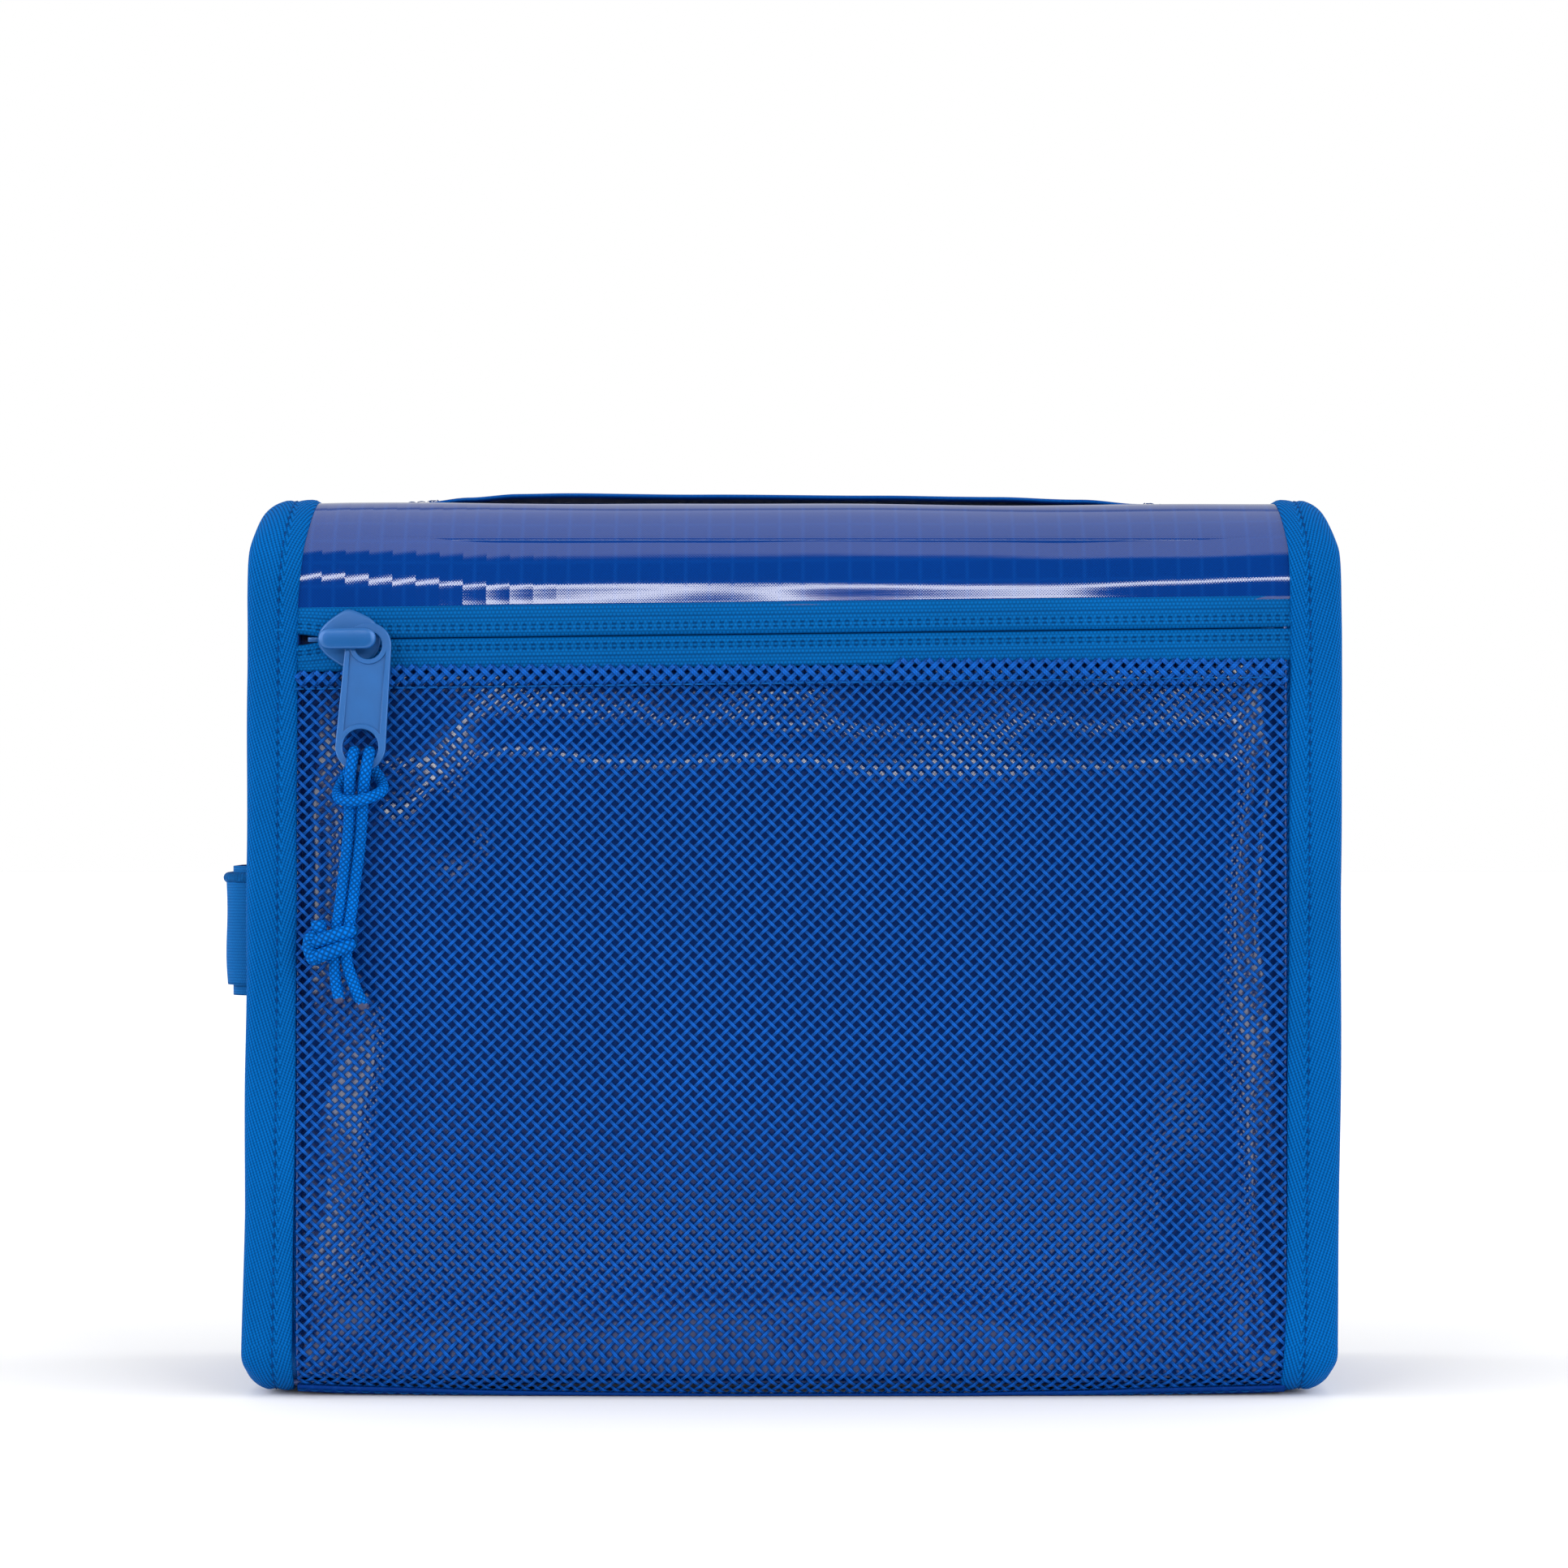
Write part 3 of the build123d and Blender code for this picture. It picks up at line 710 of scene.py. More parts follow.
def make_world():
    """White to the camera, and a studio of soft boxes for everything else."""
    world = bpy.data.worlds.new("studio")
    world.use_nodes = True
    scene.world = world
    tree = world.node_tree
    tree.nodes.clear()
    g = Graph(tree)
    way = g.node("ShaderNodeTexCoord").outputs["Generated"]
    split = g.node("ShaderNodeSeparateXYZ", {0: way})
    height = g.math("ARCSINE", split.outputs[2])
    turn = g.math("ABSOLUTE", g.math("ARCTAN2", split.outputs[0],
                                     g.mul(split.outputs[1], -1.0)))

    def edge(value, dark, bright):
        return g.node("ShaderNodeMapRange", {
            "Value": value, "From Min": math.radians(dark), "From Max": math.radians(bright)},
            interpolation_type="SMOOTHSTEP").outputs[0]

    def box(value, low, high, soft):
        rise = edge(value, low - soft, low + soft)
        return g.mul(rise, edge(value, high + soft, high - soft))

    total = STUDIO_DIM
    for power, heights, turns in STUDIO:
        lit = g.mul(box(height, *heights), box(turn, *turns))
        total = g.add(total, g.mul(lit, power))
    white = (1, 1, 1)
    studio = g.node("ShaderNodeBackground", {"Color": white, "Strength": total})
    backdrop = g.node("ShaderNodeBackground", {"Color": white})
    camera_ray = g.node("ShaderNodeLightPath").outputs["Is Camera Ray"]
    both = g.node("ShaderNodeMixShader", {0: camera_ray, 1: studio.outputs[0],
                                          2: backdrop.outputs[0]})
    g.node("ShaderNodeOutputWorld", {0: both.outputs[0]})


# Soft boxes: strength, (lowest, highest, softness) of height and of turn from the front, degrees
STUDIO = (
    (0.95, (50, 120, 2.0), (-20, 210, 5)),
    (8.5, (14.2, 18.0, 0.7), (-10, 34, 10)),
    (2.7, (-8, 46, 6), (24, 112, 5)),
    (0.7, (-5, 46, 6), (112, 210, 10)),
)


# ---- Cords on the front pull ----

CORD_WIDE = 2.7 * MM


def route_of(points):
    """A cord's route in metres from its points in millimetres."""
    return [Vector(p) * MM for p in points]


# The left cord starts in the pull's lower eye, runs down and through the knot to its tail
LEFT_ROUTE = route_of([
    (-102.1, -45.3, 150.0), (-101.9, -46.6, 151.8), (-101.9, -48.4, 151.3), (-102.2, -50.2, 149.0),
    (-102.6, -50.3, 145.4), (-102.8, -49.4, 140.8), (-102.9, -48.2, 135.5),
    (-103.5, -47.6, 129.0), (-104.4, -47.4, 122.0), (-105.2, -47.6, 115.2),
    (-105.9, -48.3, 110.6), (-106.4, -48.9, 106.4), (-106.4, -48.5, 102.4),
    (-106.3, -48.0, 99.4), (-105.9, -47.5, 96.2), (-105.2, -47.2, 92.9)])
# The right cord makes the hitch's loop, comes back through the eye and runs down beside it
RIGHT_ROUTE = route_of([
    (-102.2, -45.2, 149.4), (-103.8, -44.9, 146.2), (-105.6, -46.2, 143.0),
    (-105.7, -49.6, 141.0), (-103.9, -52.2, 140.0), (-101.0, -52.8, 140.0),
    (-97.6, -52.6, 140.8), (-95.0, -49.8, 142.2), (-95.2, -46.2, 144.0),
    (-97.2, -44.9, 146.8), (-98.6, -45.2, 149.4), (-98.3, -46.6, 151.8),
    (-98.3, -48.4, 151.3), (-98.6, -50.2, 149.0), (-99.2, -50.3, 145.4),
    (-99.7, -49.4, 140.8), (-100.0, -48.2, 135.5), (-100.6, -47.6, 129.0),
    (-101.6, -47.4, 122.0), (-102.4, -47.6, 115.2), (-103.1, -48.3, 110.6),
    (-103.7, -48.9, 106.4), (-103.6, -48.5, 102.4), (-102.6, -48.0, 99.2),
    (-101.3, -47.5, 95.5), (-99.4, -47.2, 91.6)])


def cord_curve(name, route):
    """An open curve that follows a cord's route."""
    curve = bpy.data.curves.new(name, "CURVE")
    curve.dimensions = "3D"
    spline = curve.splines.new("NURBS")
    spline.points.add(len(route) - 1)
    for point, place in zip(spline.points, route):
        point.co = (*place, 1.0)
    spline.order_u = 3
    spline.use_endpoint_u = True
    spline.resolution_u = 6
    return curve


def curve_points(curve):
    """Points along a curve, read from it without its thickness."""
    holder = bpy.data.objects.new("reader", curve)
    scene.collection.objects.link(holder)
    bpy.context.view_layer.update()
    mesh = bpy.data.meshes.new_from_object(holder)
    points = [v.co.copy() for v in mesh.vertices]
    bpy.data.objects.remove(holder)
    bpy.data.meshes.remove(mesh)
    return points


def tube_skin(points, radius_at, around=14):
    """Vertices, faces and cloth coordinates of a tube with round ends."""
    verts, faces, uvs = [], [], []
    distance, side = 0.0, None
    lengths = [0.0]
    for a, b in zip(points, points[1:]):
        distance += (b - a).length
        lengths.append(distance)
    for j, middle in enumerate(points):
        ahead = points[min(j + 1, len(points) - 1)] - points[max(j - 1, 0)]
        ahead.normalize()
        if side is None:
            side = ahead.orthogonal().normalized()
        side = (side - ahead * side.dot(ahead)).normalized()
        up = ahead.cross(side)
        for i in range(around + 1):
            turn = 2 * math.pi * i / around
            radius = radius_at(lengths[j], distance, turn)
            verts.append(middle + (side * math.cos(turn) + up * math.sin(turn)) * radius)
            uvs.append((i / around, lengths[j]))
    ring = around + 1
    for j in range(len(points) - 1):
        for i in range(around):
            faces.append((j * ring + i, j * ring + i + 1, (j + 1) * ring + i + 1,
                          (j + 1) * ring + i))
    for start, turned in ((0, True), ((len(points) - 1) * ring, False)):
        middle = len(verts)
        verts.append(sum((verts[start + i] for i in range(around)), Vector()) / around)
        uvs.append((0.5, 0.0))
        for i in range(around):
            face = (start + i, start + i + 1, middle)
            faces.append(tuple(reversed(face)) if turned else face)
    return verts, faces, uvs


def cord_radius(distance, total, turn):
    """A braid's slightly uneven girth, drawn in at the two ends."""
    near_end = min(distance, total - distance)
    lump = 0.05 * math.sin(3 * turn + distance * 2417) * math.sin(3 * turn - distance * 2417)
    return CORD_WIDE / 2 * (1 + lump) * (0.72 + 0.28 * smooth(-0.2 * MM, 0.9 * MM, near_end))


def resampled(points, step):
    """Points at an even spacing along a line of points."""
    out, left = [points[0]], step
    for a, b in zip(points, points[1:]):
        span = (b - a).length
        while left <= span:
            out.append(a.lerp(b, left / span))
            left += step
        left -= span
    out.append(points[-1])
    return out


def make_cords():
    for name, route, replaces in (
            ("cord_left", LEFT_ROUTE, ("pull_cord_strands", "pull_cord_tails")),
            ("cord_right", RIGHT_ROUTE, ("pull_cord_hitch",))):
        points = resampled(curve_points(cord_curve(name, route)), 0.5 * MM)
        verts, faces, uvs = tube_skin(points, cord_radius)
        piece = add_piece(name, verts, faces, uvs, CORD, "front_pull", replaces)
        piece.data.materials.append(TIP)
        tip = points[-1].z + 1.2 * MM
        for face in piece.data.polygons:
            if face.center.z < tip:
                face.material_index = 1
        length = sum((b - a).length for a, b in zip(points, points[1:]))
        tuple(route[0])
        [tuple(p) for p in points]


KNOT = Vector((-106.9, -48.9, 106.6)) * MM


def knot_radius(distance, total, turn):
    """The knot's cord, pressed a little wider than where it hangs free."""
    return cord_radius(distance, 2 * total, turn) * 1.28


def make_knot():
    """Two wraps of the same cord round both strands, and the end that shows above them."""
    parts = []
    for rise, reach, lean, depth in ((1.9, 4.5, 0.30, 2.6), (-1.5, 4.3, 0.38, 2.9)):
        ring = []
        for i in range(49):
            turn = 2 * math.pi * i / 48
            across = reach * math.cos(turn)
            ring.append(KNOT + Vector((across, -depth * math.sin(turn) * 0.86,
                                       rise + across * lean)) * MM)
        parts.append(tube_skin(ring, knot_radius))
    for route in (((-1.6, 0.2, 0.8), (-2.6, -0.6, 2.6), (-3.0, -0.9, 4.4), (-3.1, -0.7, 5.4)),
                  ((-3.4, -1.6, 2.6), (-4.9, -1.2, 1.6), (-5.2, -1.0, -0.6), (-4.4, -1.4, -2.6),
                   (-2.6, -1.8, -3.4))):
        bend = [KNOT + Vector(p) * MM for p in route]
        parts.append(tube_skin(bend, knot_radius))
    merge("pull_knot", parts, CORD, "front_pull", ("pull_cord_knot",))


# ---- Bindings ----

BINDING = SEAM_HALF - BODY_HALF
STITCH_LINE = 4.6 * MM
LIP = 1.0 * MM
SEAM_THICK = 2.6 * MM
EDGE_FRONT = 3.0 * MM
EDGE_TOP = 7.2 * MM
BINDING_STEPS = 330
STITCH_PROUD = 0.52 * MM


def binding_edge(s):
    """How far the seam's outer edge turns over at s: little up the front, more at top and base."""
    out_z = wall_at(s)[3]
    return EDGE_FRONT + (EDGE_TOP - EDGE_FRONT) * smooth(0.25, 0.95, abs(out_z))


def binding_ring(s):
    """The folded tape's section at s: (distance across from the inner edge, height), closed."""
    over = binding_edge(s)
    bend = BINDING - over
    profile = [(0.0, -0.4 * MM), (0.1 * MM, 0.45 * MM), (0.5 * MM, 0.85 * MM), (1.4 * MM, LIP),
               (2.5 * MM, 0.95 * MM), (3.5 * MM, 0.8 * MM), (4.2 * MM, 0.6 * MM),
               (STITCH_LINE, 0.5 * MM), (5.0 * MM, 0.6 * MM), (5.8 * MM, 0.85 * MM),
               (6.7 * MM, 0.95 * MM)]
    proud = 0.9 * MM
    outer = []
    for w, p in profile:
        if w > bend:
            inside = min(1.0, (w - bend) / over)
            p -= over * (1 - math.sqrt(1 - inside * inside))
        outer.append((w, p))
    start = math.asin(min(0.98, max(0.0, (6.7 * MM - bend) / over)))
    last = math.radians(74 if over > 5 * MM else 86)
    for i in range(1, 10):
        a = start + (last - start) * i / 9
        outer.append((bend + over * math.sin(a), proud - over * (1 - math.cos(a))))
    half = SEAM_THICK / 2
    edge_w = bend + (over - half) * math.sin(last)
    edge_p = proud - over + (over - half) * math.cos(last)
    for i in range(1, 6):
        a = last + math.pi * i / 6
        outer.append((edge_w + half * math.sin(a), edge_p + half * math.cos(a)))
    inner_radius = max(0.3 * MM, over - SEAM_THICK)
    under = proud - over
    for i in range(7):
        a = last * (1 - i / 6)
        outer.append((bend + inner_radius * math.sin(a), under + inner_radius * math.cos(a)))
    floor = under + inner_radius
    for w in (bend - 1.5 * MM, bend * 0.35):
        if w > 0.4 * MM:
            outer.append((w, floor - 0.1 * MM))
    outer.append((0.2 * MM, -1.6 * MM))
    return outer


# The bindings' inner and outer edges at some heights, as x in millimetres
BINDING_EDGES = {
    -1: ((0, -117.2, -129.2), (12, -117.0, -129.0), (43, -116.5, -128.3), (100, -115.9, -127.8),
         (170, -115.6, -127.6), (187, -115.3, -127.8), (200, -114.2, -127.6), (210, -112.6, -126.8)),
    1: ((0, 114.9, 128.2), (24, 115.9, 128.4), (100, 116.5, 129.0), (180, 116.9, 129.2),
        (200, 116.6, 128.9), (210, 115.4, 127.8)),
}


def binding_span(side, z):
    """The binding's inner and outer x at a height."""
    rows = BINDING_EDGES[side]
    for low, high in zip(rows, rows[1:]):
        if z * 1000 <= high[0] or high is rows[-1]:
            t = min(1.0, max(0.0, (z * 1000 - low[0]) / (high[0] - low[0])))
            return tuple((a + (b - a) * t) * MM for a, b in zip(low[1:], high[1:]))


def make_binding(name, side):
    """Tape folded over one side's seam all the way round, and its row of stitches."""
    def wave_at(s):
        return ripple(side * 3, s, 0, 22 * MM) * 0.35 * MM

    rings, uvs = [], []
    for j in range(BINDING_STEPS):
        s = PERIMETER * j / BINDING_STEPS
        wave = wave_at(s)
        edge = ripple(side * 5, s, 1, 30 * MM) * 0.5 * MM
        section = binding_ring(s)
        near, far = binding_span(side, wall_at(s)[1])
        ring, pairs = [], []
        travelled, last = -STITCH_LINE, section[0]
        for w, p in section:
            travelled += math.hypot(w - last[0], p - last[1])
            last = (w, p)
            share = w / BINDING
            x = near + (far - near) * share + side * edge * (share - 0.4)
            ring.append(on_wall(x, s, p + wave * (0.4 + 0.6 * share)))
            pairs.append((travelled, s))
        rings.append(ring if side < 0 else ring[::-1])
        uvs.append(pairs if side < 0 else pairs[::-1])
    rings.append([p.copy() for p in rings[0]])
    uvs.append([(pair[0], PERIMETER) for pair in uvs[0]])
    lofted(name + "_binding_tape", rings, uvs, TWILL, "bag", (name + "_binding",),
           caps=False)

    def along(s):
        out_y, out_z = wall_at(s)[2:]
        near, far = binding_span(side, wall_at(s)[1])
        x = near + (far - near) * STITCH_LINE / BINDING
        return on_wall(x, s, STITCH_PROUD + wave_at(s) * 0.6), Vector((0, out_y, out_z))

    parts = stitch_row(along, PERIMETER, 2.75 * MM)
    merge(name + "_binding_stitches", parts, SHADED_THREAD, "bag")


# ---- Sheets of the body ----

# How strongly the band above the zip leans back, at some x in millimetres
TOP_LEAN = ((-120, 0.0), (-112, 0.05), (-90, 0.5), (-70, 0.95), (-20, 0.9), (10, 0.84),
            (60, 0.74), (90, 0.5), (117, 0.1))


def make_top_panel():
    """The top band of the front, the top and the start of the back, in one glossy sheet."""
    half = BODY_HALF + STITCH_LINE
    s_start, s_end = front_s(ZIP_Z + ZIP_HALF) - 0.8 * MM, S_BACK
    us, vs = spread(-half, half, 260), spread(s_start, s_end, 110)

    def place(x, s):
        share = (s - s_start) / (s_end - s_start)
        at = s + ZIP_SLOPE * x * (1 - share) ** 4
        inner = 1 - smooth(0.86, 1.0, abs(x) / half)
        edge = smooth(0.0, 0.05, share) * smooth(0.0, 0.06, 1 - share)
        rise = min(1.0, (s - s_start) / (16 * MM))
        lean = -1.3 * along_table(TOP_LEAN, x * 1000) * (1 - (1 - rise) ** 2)
        folds = (ripple(x * 0.5, at * 0.9, 3, 34 * MM) * 0.5
                 + ripple(x * 0.4, at * 1.6, 7, 14 * MM) * 0.16)
        crest = smooth(S_TOP_FRONT + 8 * MM, S_TOP, s)
        return on_wall(x, at, (folds * inner * edge + lean * (1 - crest)) * MM)

    sheet = cloth_sheet("top_cloth", us, vs, place, CLOTH, TOP_RIPSTOP, "bag",
                        ("top_panel",))


POCKET_Y = pocket_low.y
POCKET_FULL = 4.2 * MM
POCKET_MOST = POCKET_Y - FRONT + 0.2 * MM
POCKET_SOFT = POCKET_MOST - 1.2 * MM
TOP_SLACK = 44 * MM
SIDE_SLACK = 24 * MM
LOW_SLACK = 26 * MM


def settle(distance, reach):
    """0 at an edge, rising to 1 at the distance reach and level after it."""
    t = min(1.0, max(0.0, distance / reach))
    return 1 - (1 - t) ** 1.8


# Where the pocket's inner cloth is folded: x, z, half width, half height in mm, slopes x and z
DENTS = (
    (-78, 148, 9, 6, 0.30, -0.08),
    (-68, 131, 7, 6, 0.30, -0.05),
    (-13, 152, 30, 5, 0.0, -0.16),
    (88, 152, 14, 5, 0.0, -0.16),
    (110, 143, 4, 12, -0.34, 0.0),
    (104, 115, 7, 15, -0.34, 0.0),
    (82, 51, 6, 12, -0.30, 0.0),
    (110, 44, 4, 16, -0.34, 0.0),
    (-108, 124, 4, 14, 0.34, 0.0),
    (-101, 60, 6, 14, 0.34, 0.05),
    (-92, 80, 6, 9, 0.34, 0.05),
)


def dents(x, z):
    """The slack cloth's folds at x, z: each a small slope that dies away round it."""
    total = 0.0
    for at_x, at_z, half_x, half_z, slope_x, slope_z in DENTS:
        dx, dz = x - at_x * MM, z - at_z * MM
        far = (dx / (2 * half_x * MM)) ** 2 + (dz / (2 * half_z * MM)) ** 2
        if far < 9:
            total += (dx * slope_x + dz * slope_z) * math.exp(-far)
    return total


def pillow(x, z):
    """How far the inner front panel swells forward at x, z, in metres."""
    wander = ripple(x, z, 2, 34 * MM)
    left = (BODY_HALF - CLOTH + x) * (1 + 0.4 * wander)
    right = (BODY_HALF - CLOTH - x) * (1 + 0.4 * ripple(x, z, 5, 30 * MM))
    above = (ZIP_Z - ZIP_HALF - z + 2 * MM) * (1 + 0.3 * ripple(x, z, 8, 38 * MM))
    below = (z - BASE - 4 * MM) * (1 + 0.3 * ripple(x, z, 11, 30 * MM))
    swell = (settle(left, SIDE_SLACK) * settle(right, SIDE_SLACK) * settle(above, TOP_SLACK)
             * settle(below, LOW_SLACK))
    fold = ripple(x * 1.2, z, 14, 15 * MM) * 0.35 + ripple(x, z, 17, 28 * MM) * 0.6
    slack = 4 * swell * (1 - swell) + 0.06
    rim = min(1.0, 3 * settle(left, 6 * MM) * settle(right, 6 * MM) * settle(above, 6 * MM))
    swelled = max(0.0, POCKET_FULL * swell + fold * MM * slack + dents(x, z) * rim)
    return swelled if swelled < POCKET_SOFT else POCKET_MOST - (POCKET_MOST - POCKET_SOFT) \
        * math.exp((POCKET_SOFT - swelled) / (POCKET_MOST - POCKET_SOFT))


def make_front_panel():
    """The glossy inner wall of the front pocket, filled out from behind."""
    half = BODY_HALF - CLOTH
    low, high = pocket_low.z, pocket_high.z
    us, vs = spread(-half, half, 240), spread(low, high, 200)

    def place(x, z):
        return Vector((x, POCKET_Y - pillow(x, z), z))

    sheet = cloth_sheet("pocket_cloth", us, vs, place, CLOTH * 0.5, RIPSTOP, "bag",
                        ("front_panel",))


NET_PUSH = 0.8 * MM


def hem_belly(x):
    """How far the lower front edge bows forward at x."""
    return 2.4 * MM * (1 - (x / BODY_HALF) ** 2)


def net_proud(x, s):
    """How far the net stands out from the flat front where the pillow behind pushes it."""
    z = BASE + BASE_RADIUS + s
    push = (POCKET_Y - pillow(x, z)) if s > 0 else POCKET_Y
    want = max(0.0, FRONT + 0.6 * MM + 0.9 * MM - push)
    edge_x = smooth(0.0, 16 * MM, BODY_HALF - abs(x))
    edge_s = smooth(0.0, 14 * MM, front_s(ZIP_Z - ZIP_HALF) - s) * smooth(-6 * MM, 12 * MM, s)
    belly = 0.6 * MM * edge_x * edge_s
    return 0.15 * MM + belly + min(NET_PUSH, want) * edge_x * edge_s + hem_belly(x) \
        * (1 - smooth(0.0, 40 * MM, s))


NET_END = math.radians(62)


def net_line_down():
    """Arc length where the net ends under the front edge of the base."""
    return -NET_END * BASE_RADIUS


def net_point(x, s, proud):
    """A point of the net, which stays clear of what the bag stands on."""
    place = on_wall(x, s, proud)
    place.z = max(CROSSING + 0.1 * MM, place.z)
    return place


def strand_run(parts, column, start_s, sign, limits, lift, wide):
    """One diagonal strand of the net from node to node, over and under in turn."""
    step_x, step_s = sign * NET_PITCH_X / 2, NET_PITCH_Z / 2
    x, s = column * NET_PITCH_X / 2, start_s
    first_over = (column % 2 == 0) == (sign > 0)
    low_s, high_s, half_x = limits
    rows, over = [], first_over
    across = Vector((-step_s, 0, step_x)).normalized()
    while low_s - 1e-9 <= s <= high_s(x) + 1e-9 and abs(x) <= half_x:
        height = net_proud(x, s) + lift + (CROSSING if over else -CROSSING)
        rows.append((x, s, height))
        x, s, over = x + step_x, s + step_s, not over
    if len(rows) < 2:
        return
    verts, uvs = [], []
    section = ((-1.0, 0.0), (-0.5, 0.3), (0.0, 0.08), (0.5, 0.3), (1.0, 0.0))
    length = math.hypot(step_x, step_s)
    for j, (px, ps, height) in enumerate(rows):
        for w, h in section:
            verts.append(net_point(px + across.x * w * wide, ps + across.z * w * wide,
                                   height + h * MM))
            # The second coordinate runs along the strand in step with its crossings, so the net
            # thread material can paint its highlight on each rise and its shade under each crossing
            uvs.append((w * STRAND_HALF, (j + (0 if first_over else 1)) * length))
    faces = ring_faces(len(rows), len(section))
    if sign < 0:
        faces = [face[::-1] for face in faces]
    parts.append((verts, faces, uvs))


def net_parts(low_s, high_s, half_x, lift=0.0, wide=STRAND_HALF, shift=0):
    """Both families of the net's strands between two heights, each of them start by start."""
    parts = []
    last = int(half_x / (NET_PITCH_X / 2))
    rows = int((high_s(0) - low_s) / (NET_PITCH_Z / 2)) + 2
    limits = (low_s, high_s, half_x)
    for sign in (1, -1):
        for column in range(-last, last + 1):
            if (column + shift) % 2 == 0:
                strand_run(parts, column, low_s, sign, limits, lift, wide)
        for row in range(1, rows):
            if (sign * last + row + shift) % 2 == 0:
                strand_run(parts, -sign * last, low_s + row * NET_PITCH_Z / 2, sign, limits,
                           lift, wide)
    return parts


def make_net():
    def top(x):
        return front_s(zip_z(x) - ZIP_HALF) + (1.2 - 0.9 * smooth(0.08, 0.1, x)) * MM

    parts = net_parts(net_line_down(), top, BODY_HALF)
    merge("front_net", parts, NET, "bag", ("mesh_panel",))
    low = front_s(ZIP_Z - ZIP_HALF) - 4.4 * MM
    hem = net_parts(low, top, BODY_HALF, lift=0.55 * MM, wide=0.62 * MM, shift=1)
    merge("front_net_hem", hem, NET, "bag")

    def along(distance):
        x = -BODY_HALF + distance
        s = front_s(zip_z(x) - ZIP_HALF) - 4.1 * MM
        return on_wall(x, s, net_proud(x, s) + 1.15 * MM), Vector((0, -1, 0))

    merge("front_net_hem_stitches", stitch_row(along, 2 * BODY_HALF, 2.6 * MM, fill=0.85),
          BRIGHT_THREAD, "bag")


# ---- Front zip ----

def tape_relief(away):
    """Height of the tape's face at a distance from the zip line: folded edge, then flat."""
    hump = 0.55 * MM * math.exp(-((away - 1.3 * MM) / (0.9 * MM)) ** 2)
    ridge = 0.18 * MM * math.exp(-((away - 4.0 * MM) / (1.0 * MM)) ** 2)
    lip = -0.5 * MM * (1 - smooth(0.0, 0.9 * MM, away))
    return hump + ridge + lip


SLIDER_X = front_slide["pos_m"][0]
TAPE_GAP = 0.05 * MM


def parted(x):
    """Half the opening between the tapes at x: closed to the right of the slider."""
    return TAPE_GAP + 1.15 * MM * smooth(SLIDER_X - 3 * MM, SLIDER_X - 12 * MM, x) \
        * (1 - 0.6 * smooth(SLIDER_X - 15 * MM, SLIDER_X - 24 * MM, x))


def make_front_tape(name, side, node):
    half = BODY_HALF + STITCH_LINE
    us = spread(-half, half, 300)
    vs = [d * MM for d in (0.0, 0.25, 0.6, 1.0, 1.4, 1.8, 2.3, 2.8, 3.3, 4.0, 4.7, 5.4, 6.2, 7.0,
                           7.5)]
    if side < 0:
        vs = [-v for v in reversed(vs)]

    def place(x, v):
        away = abs(v)
        open_by = parted(x) * max(0.0, 1 - away / ZIP_HALF) ** 0.7
        z = zip_z(x) + v + side * open_by
        flutter = ripple(x, v, side, 18 * MM) * 0.16 * MM
        return Vector((x, FRONT - tape_relief(away) - flutter - 0.05 * MM, z))

    cloth_sheet(name, us, vs, place, 0.6 * MM, TAPE, "bag", (node,))


TOOTH_WIRE, TOOTH_PITCH = 0.22 * MM, 1.3 * MM


def coil_mesh(run, across, inward, length):
    """A coil along a line: a wire wound into flat teeth; run(d) is a point on its line."""
    points = []
    shape = ((0.15, 0.1), (1.0, 0.0), (1.9, 0.1), (2.1, 0.7), (1.9, 1.25), (1.0, 1.3),
             (0.15, 1.2), (-0.05, 0.7))
    for k in range(int(length / TOOTH_PITCH) * len(shape)):
        w, d = shape[k % len(shape)]
        distance = TOOTH_PITCH * k / len(shape)
        points.append(run(distance) + across(distance) * (w * MM) + inward * (d * MM + TOOTH_WIRE))
    return tube_skin(points, lambda *_: TOOTH_WIRE, around=5)


def make_front_coils():
    half = BODY_HALF - 4 * MM
    for name, side in (("front_zip_upper_coil", 1), ("front_zip_lower_coil", -1)):
        shift = 0.0 if side > 0 else TOOTH_PITCH / 2

        def run(distance):
            x = -half + distance + shift
            return Vector((x, FRONT + 0.6 * MM, zip_z(x) + side * (0.5 * MM + parted(x))))

        part = coil_mesh(run, lambda d: Vector((0, 0, side)), Vector((0, 1, 0)), 2 * half)
        merge(name + "_teeth", [part], COIL, "bag", (name,))


# ---- Cast parts ----

STOP_EDGE = 0.2 * MM
STOP_CREASE = math.radians(40)


def make_stops(name, node):
    """A zip's end stops: the CAD part's own shape with its edges rounded off."""
    mesh = frame["nodes"][node].data.copy()
    mesh.name = name
    cast = bmesh.new()
    cast.from_mesh(mesh)
    bmesh.ops.remove_doubles(cast, verts=cast.verts, dist=0.01 * MM)
    bmesh.ops.dissolve_limit(cast, angle_limit=math.radians(1.0), verts=cast.verts,
                             edges=cast.edges)
    cast.to_mesh(mesh)
    cast.free()
    mesh.materials.clear()
    mesh.materials.append(ZINC)
    for face in mesh.polygons:
        face.use_smooth = True
    piece = place_mesh(name, mesh, "bag", (node,))
    bevel = piece.modifiers.new("rounded edges", "BEVEL")
    bevel.width = STOP_EDGE
    bevel.segments = 3
    bevel.limit_method = "ANGLE"
    bevel.angle_limit = STOP_CREASE


PULL_TILT, PULL_LEAN = math.radians(4.0), math.radians(4.1)
# The pull's radii, span, thickness, rim and recess, in millimetres
PULL_TOP, PULL_LOW, PULL_HOLE, PULL_EYE = 5.35, 5.85, 3.2, 4.2
PULL_SPAN, PULL_THICK, PULL_RIM, PULL_RECESS = 23.8, 1.8, 1.2, 0.55


